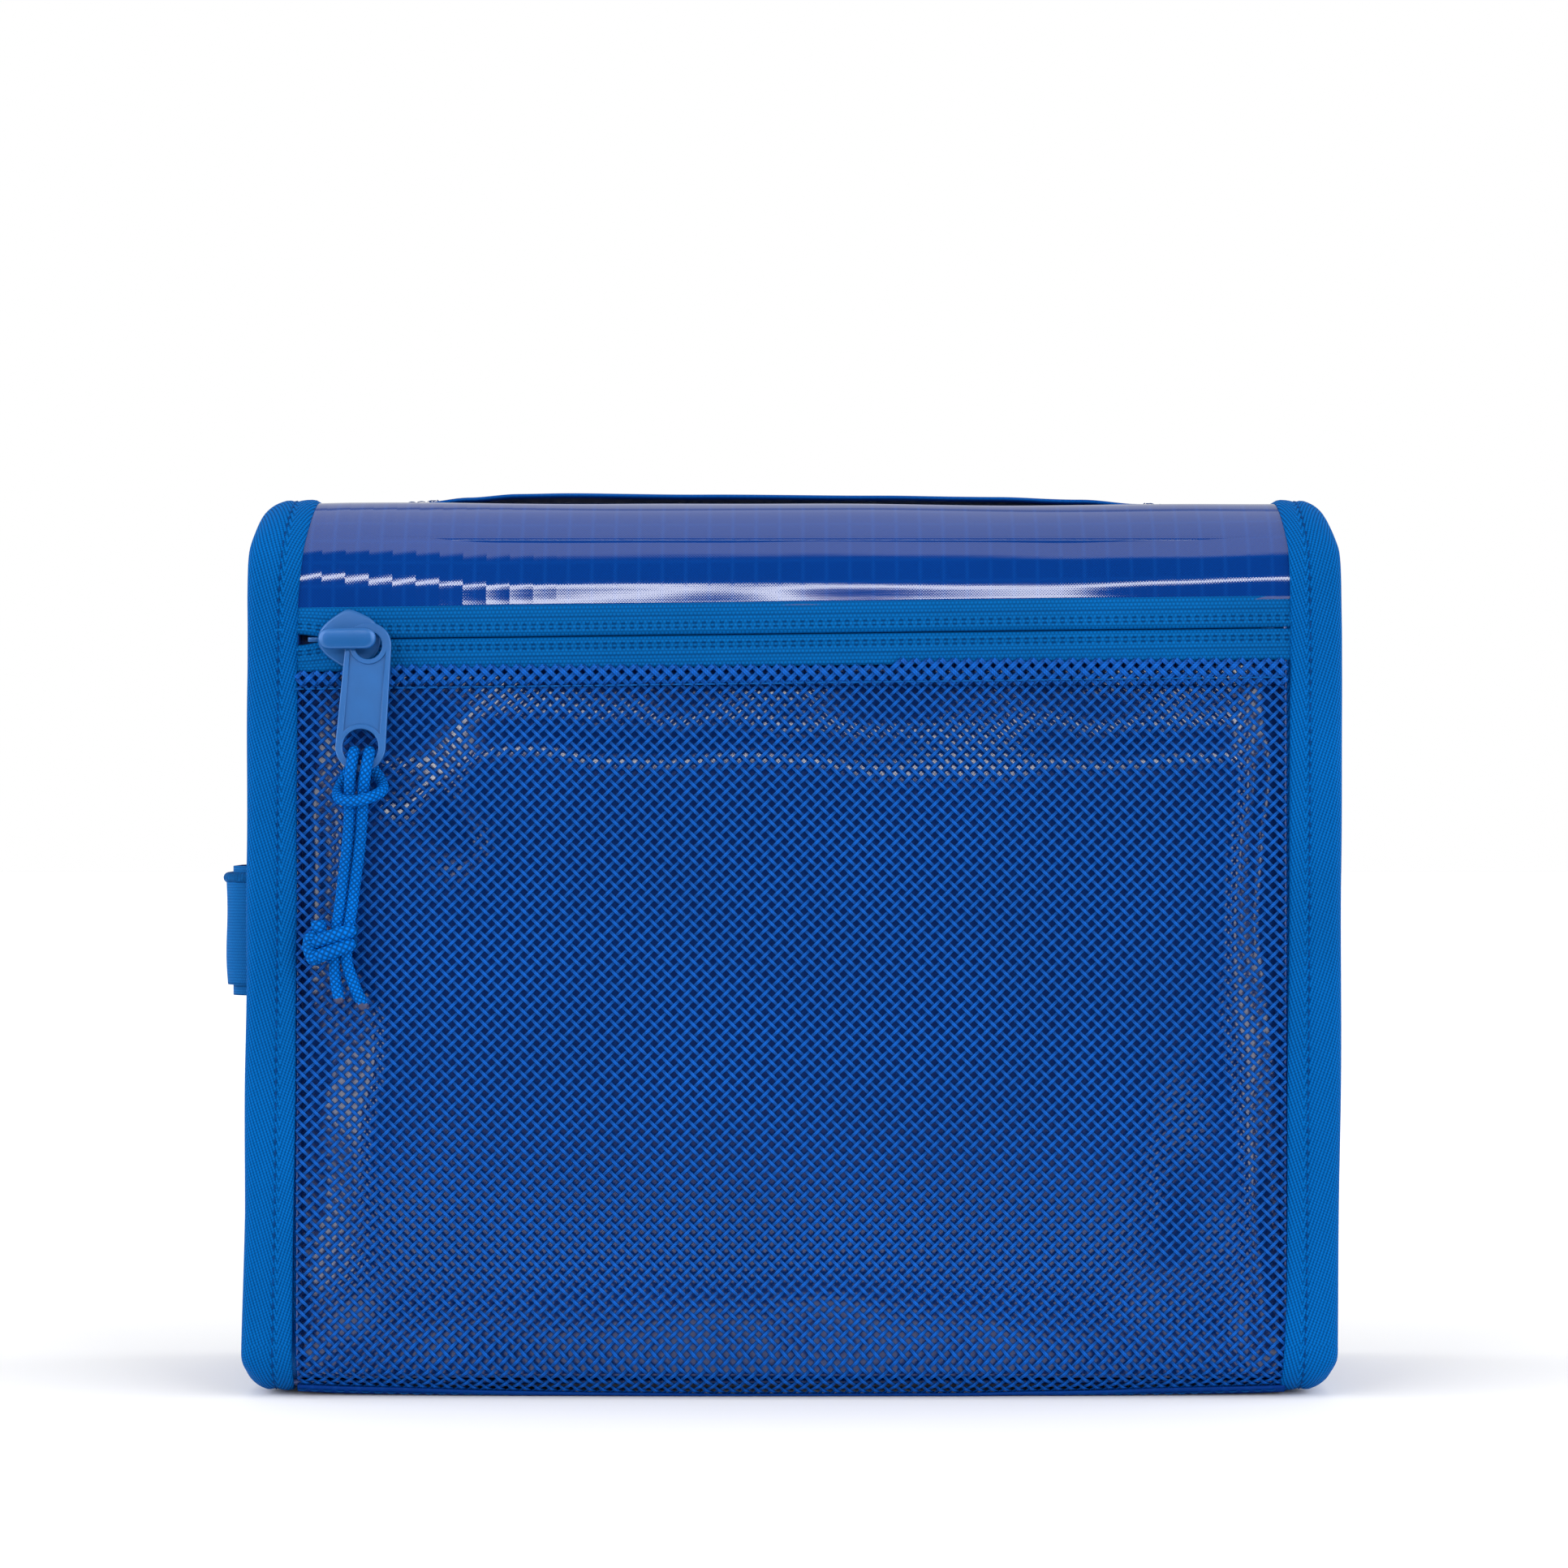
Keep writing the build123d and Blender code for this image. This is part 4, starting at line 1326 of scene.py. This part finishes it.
def arc(x, y, radius, start, end, steps=24):
    """Points on an arc about (x, y), its angles in degrees."""
    angles = [math.radians(start + (end - start) * i / steps) for i in range(steps + 1)]
    return [(x + radius * math.cos(a), y + radius * math.sin(a)) for a in angles]


def pressed_shape(name, outlines, low, high, edge):
    """A plate with holes between two heights, with its edges rounded, as a mesh."""
    curve = bpy.data.curves.new(name, "CURVE")
    curve.dimensions = "2D"
    curve.fill_mode = "BOTH"
    for outline in outlines:
        spline = curve.splines.new("POLY")
        spline.points.add(len(outline) - 1)
        for point, (x, y) in zip(spline.points, outline):
            point.co = (x * MM, y * MM, 0, 1)
        spline.use_cyclic_u = True
    curve.extrude = ((high - low) / 2 - edge) * MM
    curve.bevel_depth = edge * MM
    curve.offset = -edge * MM
    curve.bevel_resolution = 3
    holder = bpy.data.objects.new(name, curve)
    scene.collection.objects.link(holder)
    bpy.context.view_layer.update()
    mesh = bpy.data.meshes.new_from_object(holder)
    bpy.data.objects.remove(holder)
    mesh.transform(Matrix.Translation((0, 0, (low + high) / 2 * MM)))
    return mesh


def make_pull(name, origin, turn, node, body):
    """A flat pull with a hole at each end and a raised rim, hanging from its upper hole."""
    lean = math.degrees(math.asin((PULL_LOW - PULL_TOP) / PULL_SPAN))
    hull = arc(0, 0, PULL_TOP, -lean, 180 + lean) + arc(0, -PULL_SPAN, PULL_LOW, 180 + lean,
                                                        360 - lean)
    hole = arc(0, 0, PULL_HOLE, 0, 345, 23)
    eye = arc(0, -PULL_SPAN, PULL_EYE, 0, 345, 23)
    side = PULL_TOP - PULL_RIM
    upper, lower = PULL_HOLE + PULL_RIM, PULL_EYE + PULL_RIM
    a, b = math.degrees(math.acos(side / upper)), math.degrees(math.acos(side / lower))
    recess = arc(0, 0, upper, 180 + a, 360 - a) + arc(0, -PULL_SPAN, lower, b, 180 - b)
    face = PULL_THICK - PULL_RECESS
    shapes = [pressed_shape(name, [hull, hole, eye], 0.0, face, 0.28),
              pressed_shape(name + "_rim", [hull, hole, eye, recess], face - 0.5, PULL_THICK,
                            0.22)]
    cast = bmesh.new()
    for shape in shapes:
        cast.from_mesh(shape)
    mesh = bpy.data.meshes.new(name)
    cast.to_mesh(mesh)
    cast.free()
    mesh.transform(Matrix.Translation(origin) @ turn.to_4x4())
    mesh.materials.append(ZINC)
    mesh.shade_smooth()
    place_mesh(name, mesh, body, (node,))


class SliderFrame:
    """A slider's own directions: along to its nose, across, and out of the cloth."""

    def __init__(self, origin, along, out):
        self.origin, self.along, self.out = Vector(origin), Vector(along), Vector(out)
        self.across = self.out.cross(self.along)

    def at(self, a, b, c):
        return self.origin + (self.along * a + self.across * b + self.out * c) * MM


CORNER_CUTS = 3
END_STEPS = 12


def rounded(corners):
    """A closed outline with its corners cut off again and again until they are round."""
    points = [Vector((x, y)) for x, y in corners]
    for _ in range(CORNER_CUTS):
        cut = []
        for p, q in zip(points, points[1:] + points[:1]):
            cut += [p.lerp(q, 0.25), p.lerp(q, 0.75)]
        points = cut
    return points


def stack_part(place, outline, levels):
    """Vertices, faces and coordinates of a solid made of one outline at several heights."""
    verts, uvs = [], []
    reach = max(p.length for p in outline)
    centre = sum((p for p in outline), Vector((0, 0))) / len(outline)
    for height, inset in levels:
        for p in outline:
            q = centre + (p - centre) * (1 - inset / reach)
            verts.append(place.at(q.x, q.y, height))
            uvs.append((q.x * MM, q.y * MM))
    return verts, ring_faces(len(levels), len(outline)), uvs


def stadium(length, width, shift=0.0):
    """The outline of a bar with round ends."""
    radius, reach = width / 2, length / 2 - width / 2
    points = []
    for end, start in ((1, -90), (-1, 90)):
        for i in range(END_STEPS + 1):
            a = math.radians(start + 180 * i / END_STEPS)
            points.append(Vector((end * reach + radius * math.cos(a) + shift,
                                  radius * math.sin(a))))
    return points


PLATE_OUT = (0.3, 1.5)
PLATE_IN = (-3.7, -2.5)
KITE = ((7.3, 2.4), (1.2, 6.9), (-1.2, 6.9), (-7.4, 3.6), (-7.4, -3.6), (-1.2, -6.9), (1.2, -6.9),
        (7.3, -2.4))
CROWN_FOOT, CROWN_LOW, CROWN_HIGH = 1.5, 4.55, 6.3


def make_slider(name, place, body_node, crown_node, body):
    """Two rounded plates with a post between them, and the arch that carries the pull."""
    outline = rounded(KITE)
    parts = []
    for low, high in (PLATE_OUT, PLATE_IN):
        levels = [(low, 0.35), (low + 0.12, 0.1), (low + 0.35, 0.0), (high - 0.45, 0.0),
                  (high - 0.2, 0.12), (high - 0.05, 0.35), (high, 0.65)]
        parts.append(stack_part(place, outline, levels))
    parts.append(stack_part(place, stadium(3.5, 0.8, 3.5), [(PLATE_IN[1] - 0.5, 0), (0.8, 0)]))
    merge(name + "_plates", parts, ZINC, body, (body_node,))
    levels = [(CROWN_LOW, 0.7), (CROWN_LOW + 0.15, 0.3), (CROWN_LOW + 0.45, 0.05),
              (CROWN_LOW + 0.8, 0.0), (CROWN_HIGH - 0.65, 0.05), (CROWN_HIGH - 0.3, 0.35),
              (CROWN_HIGH - 0.1, 0.75), (CROWN_HIGH, 1.35)]
    parts = [stack_part(place, stadium(13.5, 4.9), levels)]
    for side in (-1, 1):
        levels = [(CROWN_FOOT - 0.2, -0.6), (CROWN_FOOT + 0.1, -0.25), (CROWN_FOOT + 0.5, 0.0),
                  (CROWN_LOW - 0.4, 0.0), (CROWN_LOW + 0.3, -0.4)]
        parts.append(stack_part(place, stadium(2.31, 2.3, side * 4.8), levels))
    merge(name + "_arch", parts, ZINC, body, (crown_node,))


def make_cast_parts():
    slope = math.hypot(1.0, ZIP_SLOPE)
    front = SliderFrame(front_slide["pos_m"], (-1 / slope, 0, -ZIP_SLOPE / slope), (0, -1, 0))
    lid = SliderFrame(lid_slide["pos_m"], (0, 0, -1), (0, 1, 0))
    make_slider("front_slider", front, "front_slider_body", "front_slider_crown", "front_slider")
    make_slider("lid_slider", lid, "lid_slider_body", "lid_slider_crown", "lid_slider")
    turn = Euler((-PULL_TILT, PULL_LEAN, 0)).to_matrix()
    make_pull("front_pull_plate", joints["front_pull_swing"]["pos_m"],
              turn @ Matrix(((1, 0, 0), (0, 0, -1), (0, 1, 0))), "front_pull_tab", "front_pull")
    make_pull("lid_pull_plate", joints["lid_pull_swing"]["pos_m"],
              Matrix(((-1, 0, 0), (0, 0, 1), (0, 1, 0))), "lid_pull_tab", "lid_pull")
    make_stops("front_stops", "front_zip_stops")
    make_stops("lid_stops", "lid_zip_stops")


# ---- Handle ----

HANDLE_LINE = ((-102.0, 0.0), (-98.0, 0.25), (-90.0, 0.9), (-78.0, 2.2), (-66.0, 3.0), (-54.0, 3.1),
               (-20.0, 2.9), (20.0, 2.6), (50.0, 2.3), (70.0, 1.6), (84.0, 0.6), (92.0, 0.1),
               (101.0, 0.0))


def along_table(rows, x):
    """A smooth value at x from rows of (x, value)."""
    for (xa, a), (xb, b) in zip(rows, rows[1:]):
        if x <= xb:
            return a + (b - a) * smooth(xa, xb, x)
    return rows[-1][1]


HANDLE_THICK = 1.3 * MM


def handle_under(x):
    """Height of the strap's underside at x."""
    return TOP - 0.9 * MM + along_table(HANDLE_LINE, x * 1000) * MM


def make_handle():
    """Webbing sewn down at both ends, lying just above the top."""
    rings, uvs = [], []
    half_wide, thick = (strap_high.y - strap_low.y) / 2, HANDLE_THICK
    middle = (strap_high.y + strap_low.y) / 2
    for x in spread(strap_low.x - 1 * MM, strap_high.x, 150):
        under = handle_under(x)
        ring, pairs = [], []
        for i in range(28):
            turn = 2 * math.pi * i / 28
            across = math.copysign(abs(math.cos(turn)) ** 0.35, math.cos(turn))
            up = math.copysign(abs(math.sin(turn)) ** 0.6, math.sin(turn))
            curl = -0.25 * MM * across * across
            wobble = ripple(x, across * 0.01, 5, 20 * MM) * 0.15 * MM
            ring.append(Vector((x, middle + half_wide * across,
                                under + thick / 2 + up * thick / 2 + curl + wobble)))
            pairs.append((x, across * half_wide + (0.0 if up > 0 else 0.03)))
        rings.append(ring[::-1])
        uvs.append(pairs[::-1])
    lofted("handle_strap", rings, uvs, WEBBING, "bag", ("carry_handle",))
    parts = []
    for end in (-1, 1):
        edge = strap_low.x if end < 0 else strap_high.x
        x0, x1 = edge - end * 2.5 * MM, edge - end * 14.5 * MM
        y0, y1 = middle - half_wide + 2.5 * MM, middle + half_wide - 2.5 * MM
        corners = [(x0, y0), (x1, y0), (x1, y1), (x0, y1), (x0, y0), (x1, y1), (x0, y1), (x1, y0)]
        for (xa, ya), (xb, yb) in zip(corners, corners[1:]):
            a, b = Vector((xa, ya, 0)), Vector((xb, yb, 0))
            count = max(1, int((b - a).length / (2.2 * MM)))
            for k in range(count):
                ends = []
                for share in (k / count, (k + 0.8) / count):
                    point = a.lerp(b, share)
                    point.z = handle_under(point.x) + thick - 0.05 * MM
                    ends.append(point)
                parts.append(stitch(ends[0], ends[1], Vector((0, 0, 1)), 0.14 * MM))
    merge("handle_stitches", parts, SHADED_THREAD, "bag", ("handle_bartacks",))


# ---- Side loop ----

LOOP_CORNER = 6.0 * MM


def loop_path(inset=0.0):
    """The elastic's path seen from above, from its front end on the patch round to its back end."""
    near, far, corner = patch_low.x, loop_low.x + 0.8 * MM + inset, LOOP_CORNER
    half = (loop_high.y - loop_low.y) / 2 - inset
    middle = (loop_high.y + loop_low.y) / 2
    points = [(near, -half)]
    for i in range(9):
        a = math.pi / 2 * i / 8
        points.append((far + corner * (1 - math.sin(a)), -half + corner * (1 - math.cos(a))))
    for i in range(9):
        a = math.pi / 2 * (1 - i / 8)
        points.append((far + corner * (1 - math.sin(a)), half - corner * (1 - math.cos(a))))
    points.append((near, half))
    return [Vector((x, middle + y, 0)) for x, y in points]


def ribbon(name, path, z_low, z_high, thick, replaces, fold):
    """An upright ribbon along a path seen from above, its outer face on the path."""
    lengths = [0.0]
    for a, b in zip(path, path[1:]):
        lengths.append(lengths[-1] + (b - a).length)
    total = lengths[-1]

    def at(d):
        for j in range(1, len(lengths)):
            if d <= lengths[j] + 1e-9:
                t = (d - lengths[j - 1]) / (lengths[j] - lengths[j - 1])
                return path[j - 1].lerp(path[j], t), (path[j] - path[j - 1]).normalized()
        return path[-1], (path[-1] - path[-2]).normalized()

    def place(d, z):
        point, ahead = at(d)
        out = ahead.cross(Vector((0, 0, 1)))
        return Vector((point.x, point.y, z)) + out * fold(d / total, z)

    cloth_sheet(name, spread(0, total, 70), spread(z_low, z_high, 24), place, thick,
                ELASTIC, "bag", replaces)


def make_side_loop():
    low, high = loop_low.z, loop_high.z

    def puckered(share, z):
        t = (z - low) / (high - low)
        return (0.25 * math.sin(share * 9 + t * 3) + 0.2 * math.sin(t * 7)) * MM

    ribbon("loop_elastic", loop_path()[::-1], low, high, 1.1 * MM, ("side_loop",), puckered)
    verts, faces, uvs = tube_skin(
        [Vector((p.x, p.y, high - 0.6 * MM)) for p in resampled(loop_path(0.3 * MM), 0.8 * MM)],
        lambda d, t, turn: 1.25 * MM * (1 + 0.06 * math.sin(d * 5200)))
    add_piece("loop_elastic_edge", verts, faces, uvs, ELASTIC, "bag")
    ribbon("loop_lining", loop_path(1.4 * MM)[::-1], low - 2.6 * MM, high + 2.2 * MM, 0.7 * MM,
           (), lambda share, z: 0.15 * MM * math.sin(share * 12))

    def patch_at(y, z):
        edge = min(y - patch_low.y, patch_high.y - y, z - patch_low.z, patch_high.z - z)
        return Vector((patch_low.x + 0.4 * MM * (1 - smooth(0, 0.8 * MM, edge)), y, z))

    us = [-v for v in spread(-patch_high.y, -patch_low.y, 30)]
    cloth_sheet("loop_patch", us, spread(patch_low.z, patch_high.z, 26), patch_at,
                1.1 * MM, ELASTIC, "bag", ("side_loop_patch",))


# ---- Sides, back and base ----

def half_depth(z):
    """Half the bag's depth inside its outline at a height."""
    half = DEPTH / 2 - 0.4 * MM
    above = z - (TOP - TOP_RADIUS)
    below = BASE + BASE_RADIUS - z
    if above > 0:
        return half - TOP_RADIUS + math.sqrt(max(0.0, TOP_RADIUS ** 2 - above ** 2))
    if below > 0:
        return half - BASE_RADIUS + math.sqrt(max(0.0, BASE_RADIUS ** 2 - below ** 2))
    return half


def make_gusset(name, side):
    wide, low, high = DEPTH / 2, BASE + 0.6 * MM, TOP - 0.6 * MM
    us, vs = spread(-wide, wide, 90), spread(low, high, 160)
    middle = (FRONT + BACK) / 2

    def place(u, z):
        half = half_depth(z)
        edge = smooth(0, 10 * MM, min(z - low, high - z)) * smooth(0, 8 * MM, wide - abs(u))
        swell = ripple(u, z, side * 4, 40 * MM) * 1.6 + ripple(u * 1.3, z, side * 8, 16 * MM) * 0.5
        return Vector((side * (BODY_HALF + edge * (swell * 0.5 - 0.8) * MM),
                       middle + side * u * half / wide, z))

    sheet = cloth_sheet(name + "_side_cloth", us, vs, place, CLOTH, RIPSTOP, "bag",
                        (name + "_gusset",))


LID_HALF = abs(lid_slide["pos_m"][0])
LID_TOP = lid_high.z + ZIP_HALF
LID_RADIUS = 26 * MM
TAIL_LOW = node_box("lid_zip_frame_tape")[0].z


def lid_half_width(z, shrink):
    """Half the arch's width at a height, drawn in from the zip line."""
    radius = LID_RADIUS - shrink
    above = z - (LID_TOP - LID_RADIUS)
    if above > 0:
        return LID_HALF - LID_RADIUS + math.sqrt(max(0.0, radius ** 2 - above ** 2))
    return LID_HALF - shrink


LID_OUTLINE = ((LID_TOP - LID_RADIUS - TAIL_LOW, LID_RADIUS),
               (2 * (LID_HALF - LID_RADIUS), LID_RADIUS), (math.inf, LID_RADIUS))


def lid_line(d, away):
    """A point on the arch, d along the zip line from its left foot and away outside it."""
    x, z, out_x, out_z = walk(-LID_HALF, TAIL_LOW, LID_OUTLINE, d)
    return x + out_x * away, z + out_z * away


LID_RUN = (2 * (LID_TOP - LID_RADIUS - TAIL_LOW) + math.pi * LID_RADIUS
           + 2 * (LID_HALF - LID_RADIUS))


def make_lid():
    low, high = lid_low.z, LID_TOP - ZIP_HALF + 1 * MM
    shrink = ZIP_HALF - 1 * MM
    wide = LID_HALF - shrink
    us, vs = spread(-wide, wide, 180), spread(low, high, 130)

    def place(u, z):
        half = lid_half_width(z, shrink)
        edge = smooth(0, 14 * MM, min(wide - abs(u), high - z)) * smooth(0, 10 * MM, z - low)
        swell = (ripple(u, z, 21, 45 * MM) * 1.4 + ripple(u, z, 23, 18 * MM) * 0.5 + 1.6) * edge
        return Vector((-u * half / wide, BACK + min(3.4, max(0.0, swell)) * MM - 0.2 * MM, z))

    sheet = cloth_sheet("lid_cloth", us, vs, place, CLOTH, RIPSTOP, "back_lid",
                        ("lid_panel",))
    start = lid_low.z - TAIL_LOW
    for name, sign, body, node, d0 in (
            ("lid_zip_outer_cloth", 1, "bag", "lid_zip_frame_tape", 0.0),
            ("lid_zip_inner_cloth", -1, "back_lid", "lid_zip_lid_tape", start)):
        aways = sorted(sign * a * MM for a in (0.6, 0.9, 1.3, 1.8, 2.4, 3.0, 4.0, 5.0, 6.0, 7.5))

        def tape_at(v, d):
            x, z = lid_line(d, v)
            return Vector((x, BACK + 0.05 * MM + tape_relief(abs(v)) * 0.8, z))

        cloth_sheet(name, aways, spread(d0, LID_RUN - d0, 260), tape_at, 0.6 * MM, TAPE_ALONG,
                    body, (node,))
    for name, sign, body, node, d0 in (
            ("lid_zip_outer_teeth", 1, "bag", "lid_zip_frame_coil", 0.0),
            ("lid_zip_inner_teeth", -1, "back_lid", "lid_zip_lid_coil", start)):
        shift = 0.0 if sign > 0 else TOOTH_PITCH / 2

        def run(d):
            x, z = lid_line(d0 + shift + d, sign * 0.6 * MM)
            return Vector((x, BACK - 0.6 * MM, z))

        def across(d):
            xa, za = lid_line(d0 + shift + d, 0.0)
            xb, zb = lid_line(d0 + shift + d, sign * 1.0 * MM)
            return Vector((xb - xa, 0, zb - za)).normalized()

        part = coil_mesh(run, across, Vector((0, -1, 0)), LID_RUN - 2 * d0 - 1.5 * MM)
        merge(name, [part], COIL, body, (node,))


def make_back_frame():
    """The fixed border of the back, with the lid's opening cut out of it."""
    half = BODY_HALF + STITCH_LINE
    low, high = BASE + BASE_RADIUS, TOP - TOP_RADIUS + 1 * MM
    us = spread(-half, half, 200)
    vs = spread(low, high, 150)
    grow = ZIP_HALF - 2.0 * MM
    hinge = HINGE_Z - 0.5 * MM

    def keep(u, z):
        x = -u
        if z < hinge and abs(x) < LID_HALF - grow:
            return True
        if z < TAIL_LOW + 1 * MM:
            return True
        radius = LID_RADIUS + grow
        above = z - (LID_TOP - LID_RADIUS)
        if above <= 0:
            return abs(x) > LID_HALF + grow
        if above >= radius:
            return True
        return abs(x) > LID_HALF - LID_RADIUS + math.sqrt(radius ** 2 - above ** 2)

    def place(u, z):
        return Vector((-u, BACK - 0.15 * MM + ripple(u, z, 31, 25 * MM) * 0.12 * MM, z))

    sheet = cloth_sheet("back_border", us, vs, place, CLOTH, RIPSTOP, "bag",
                        ("back_frame",), keep)

    def fold(u, z):
        return Vector((-u, hinge_low.y + 0.4 * MM, z))

    cloth_sheet("lid_hinge_cloth", spread(hinge_low.x, hinge_high.x, 120),
                spread(hinge_low.z, hinge_high.z, 10), fold, 0.4 * MM, WEBBING, "bag",
                ("lid_hinge_tape",))


def make_base():
    half = BODY_HALF + STITCH_LINE
    start, end = S_BASE_BACK, PERIMETER + net_line_down() + 0.5 * MM
    us, vs = spread(-half, half, 160), spread(start, end, 90)

    def place(x, s):
        drop = smooth(S_BASE - 4 * MM, S_BASE + 12 * MM, s) \
            * (1 - smooth(S_BASE_FRONT - 12 * MM, S_BASE_FRONT + 4 * MM, s))
        inner = 1 - smooth(0.82, 1.0, abs(x) / half)
        return on_wall(x, s, 1.55 * MM * drop * inner)

    sheet = cloth_sheet("base_cloth", us, vs, place, CLOTH, RIPSTOP, "bag",
                        ("base_panel",))


def make_base_hem():
    """The rolled, stitched edge of the base where the net ends."""
    middle = Vector((0, FRONT + BASE_RADIUS, BASE + BASE_RADIUS))
    rings, uvs = [], []
    half = BODY_HALF
    for x in spread(-half, half, 160):
        belly = hem_belly(x) + ripple(x, 0, 41, 25 * MM) * 0.3 * MM
        ring, pairs = [], []
        for i in range(20):
            turn = 2 * math.pi * i / 20
            angle = math.radians(68 + 10 * math.cos(turn))
            proud = 0.75 * MM * (1 + math.sin(turn)) + belly
            radius = BASE_RADIUS + proud
            ring.append(Vector((x, middle.y - radius * math.cos(angle),
                                max(0.2 * MM, middle.z - radius * math.sin(angle)))))
            pairs.append((x, radius * angle))
        rings.append(ring)
        uvs.append(pairs)
    lofted("base_rolled_hem", rings, uvs, HEM_CLOTH, "bag", ("base_hem",))

    def along(distance):
        x = -half + distance
        angle = math.radians(62)
        radius = BASE_RADIUS + 1.6 * MM + hem_belly(x)
        out = Vector((0, -math.cos(angle), -math.sin(angle)))
        place = Vector((x, middle.y, middle.z)) + out * radius
        return Vector((x, place.y, max(0.6 * MM, place.z))), out

    merge("base_hem_stitches", stitch_row(along, 2 * half, 3.0 * MM), SHADED_THREAD, "bag")


make_camera()
make_cords()
make_knot()
make_floor()
make_world()
make_binding("left", -1)
make_binding("right", 1)
make_top_panel()
make_front_panel()
make_net()
make_front_tape("front_zip_upper_cloth", 1, "front_zip_upper_tape")
make_front_tape("front_zip_lower_cloth", -1, "front_zip_lower_tape")
make_front_coils()
make_cast_parts()
make_handle()
make_side_loop()
make_gusset("left", -1)
make_gusset("right", 1)
make_lid()
make_back_frame()
make_base()
make_base_hem()
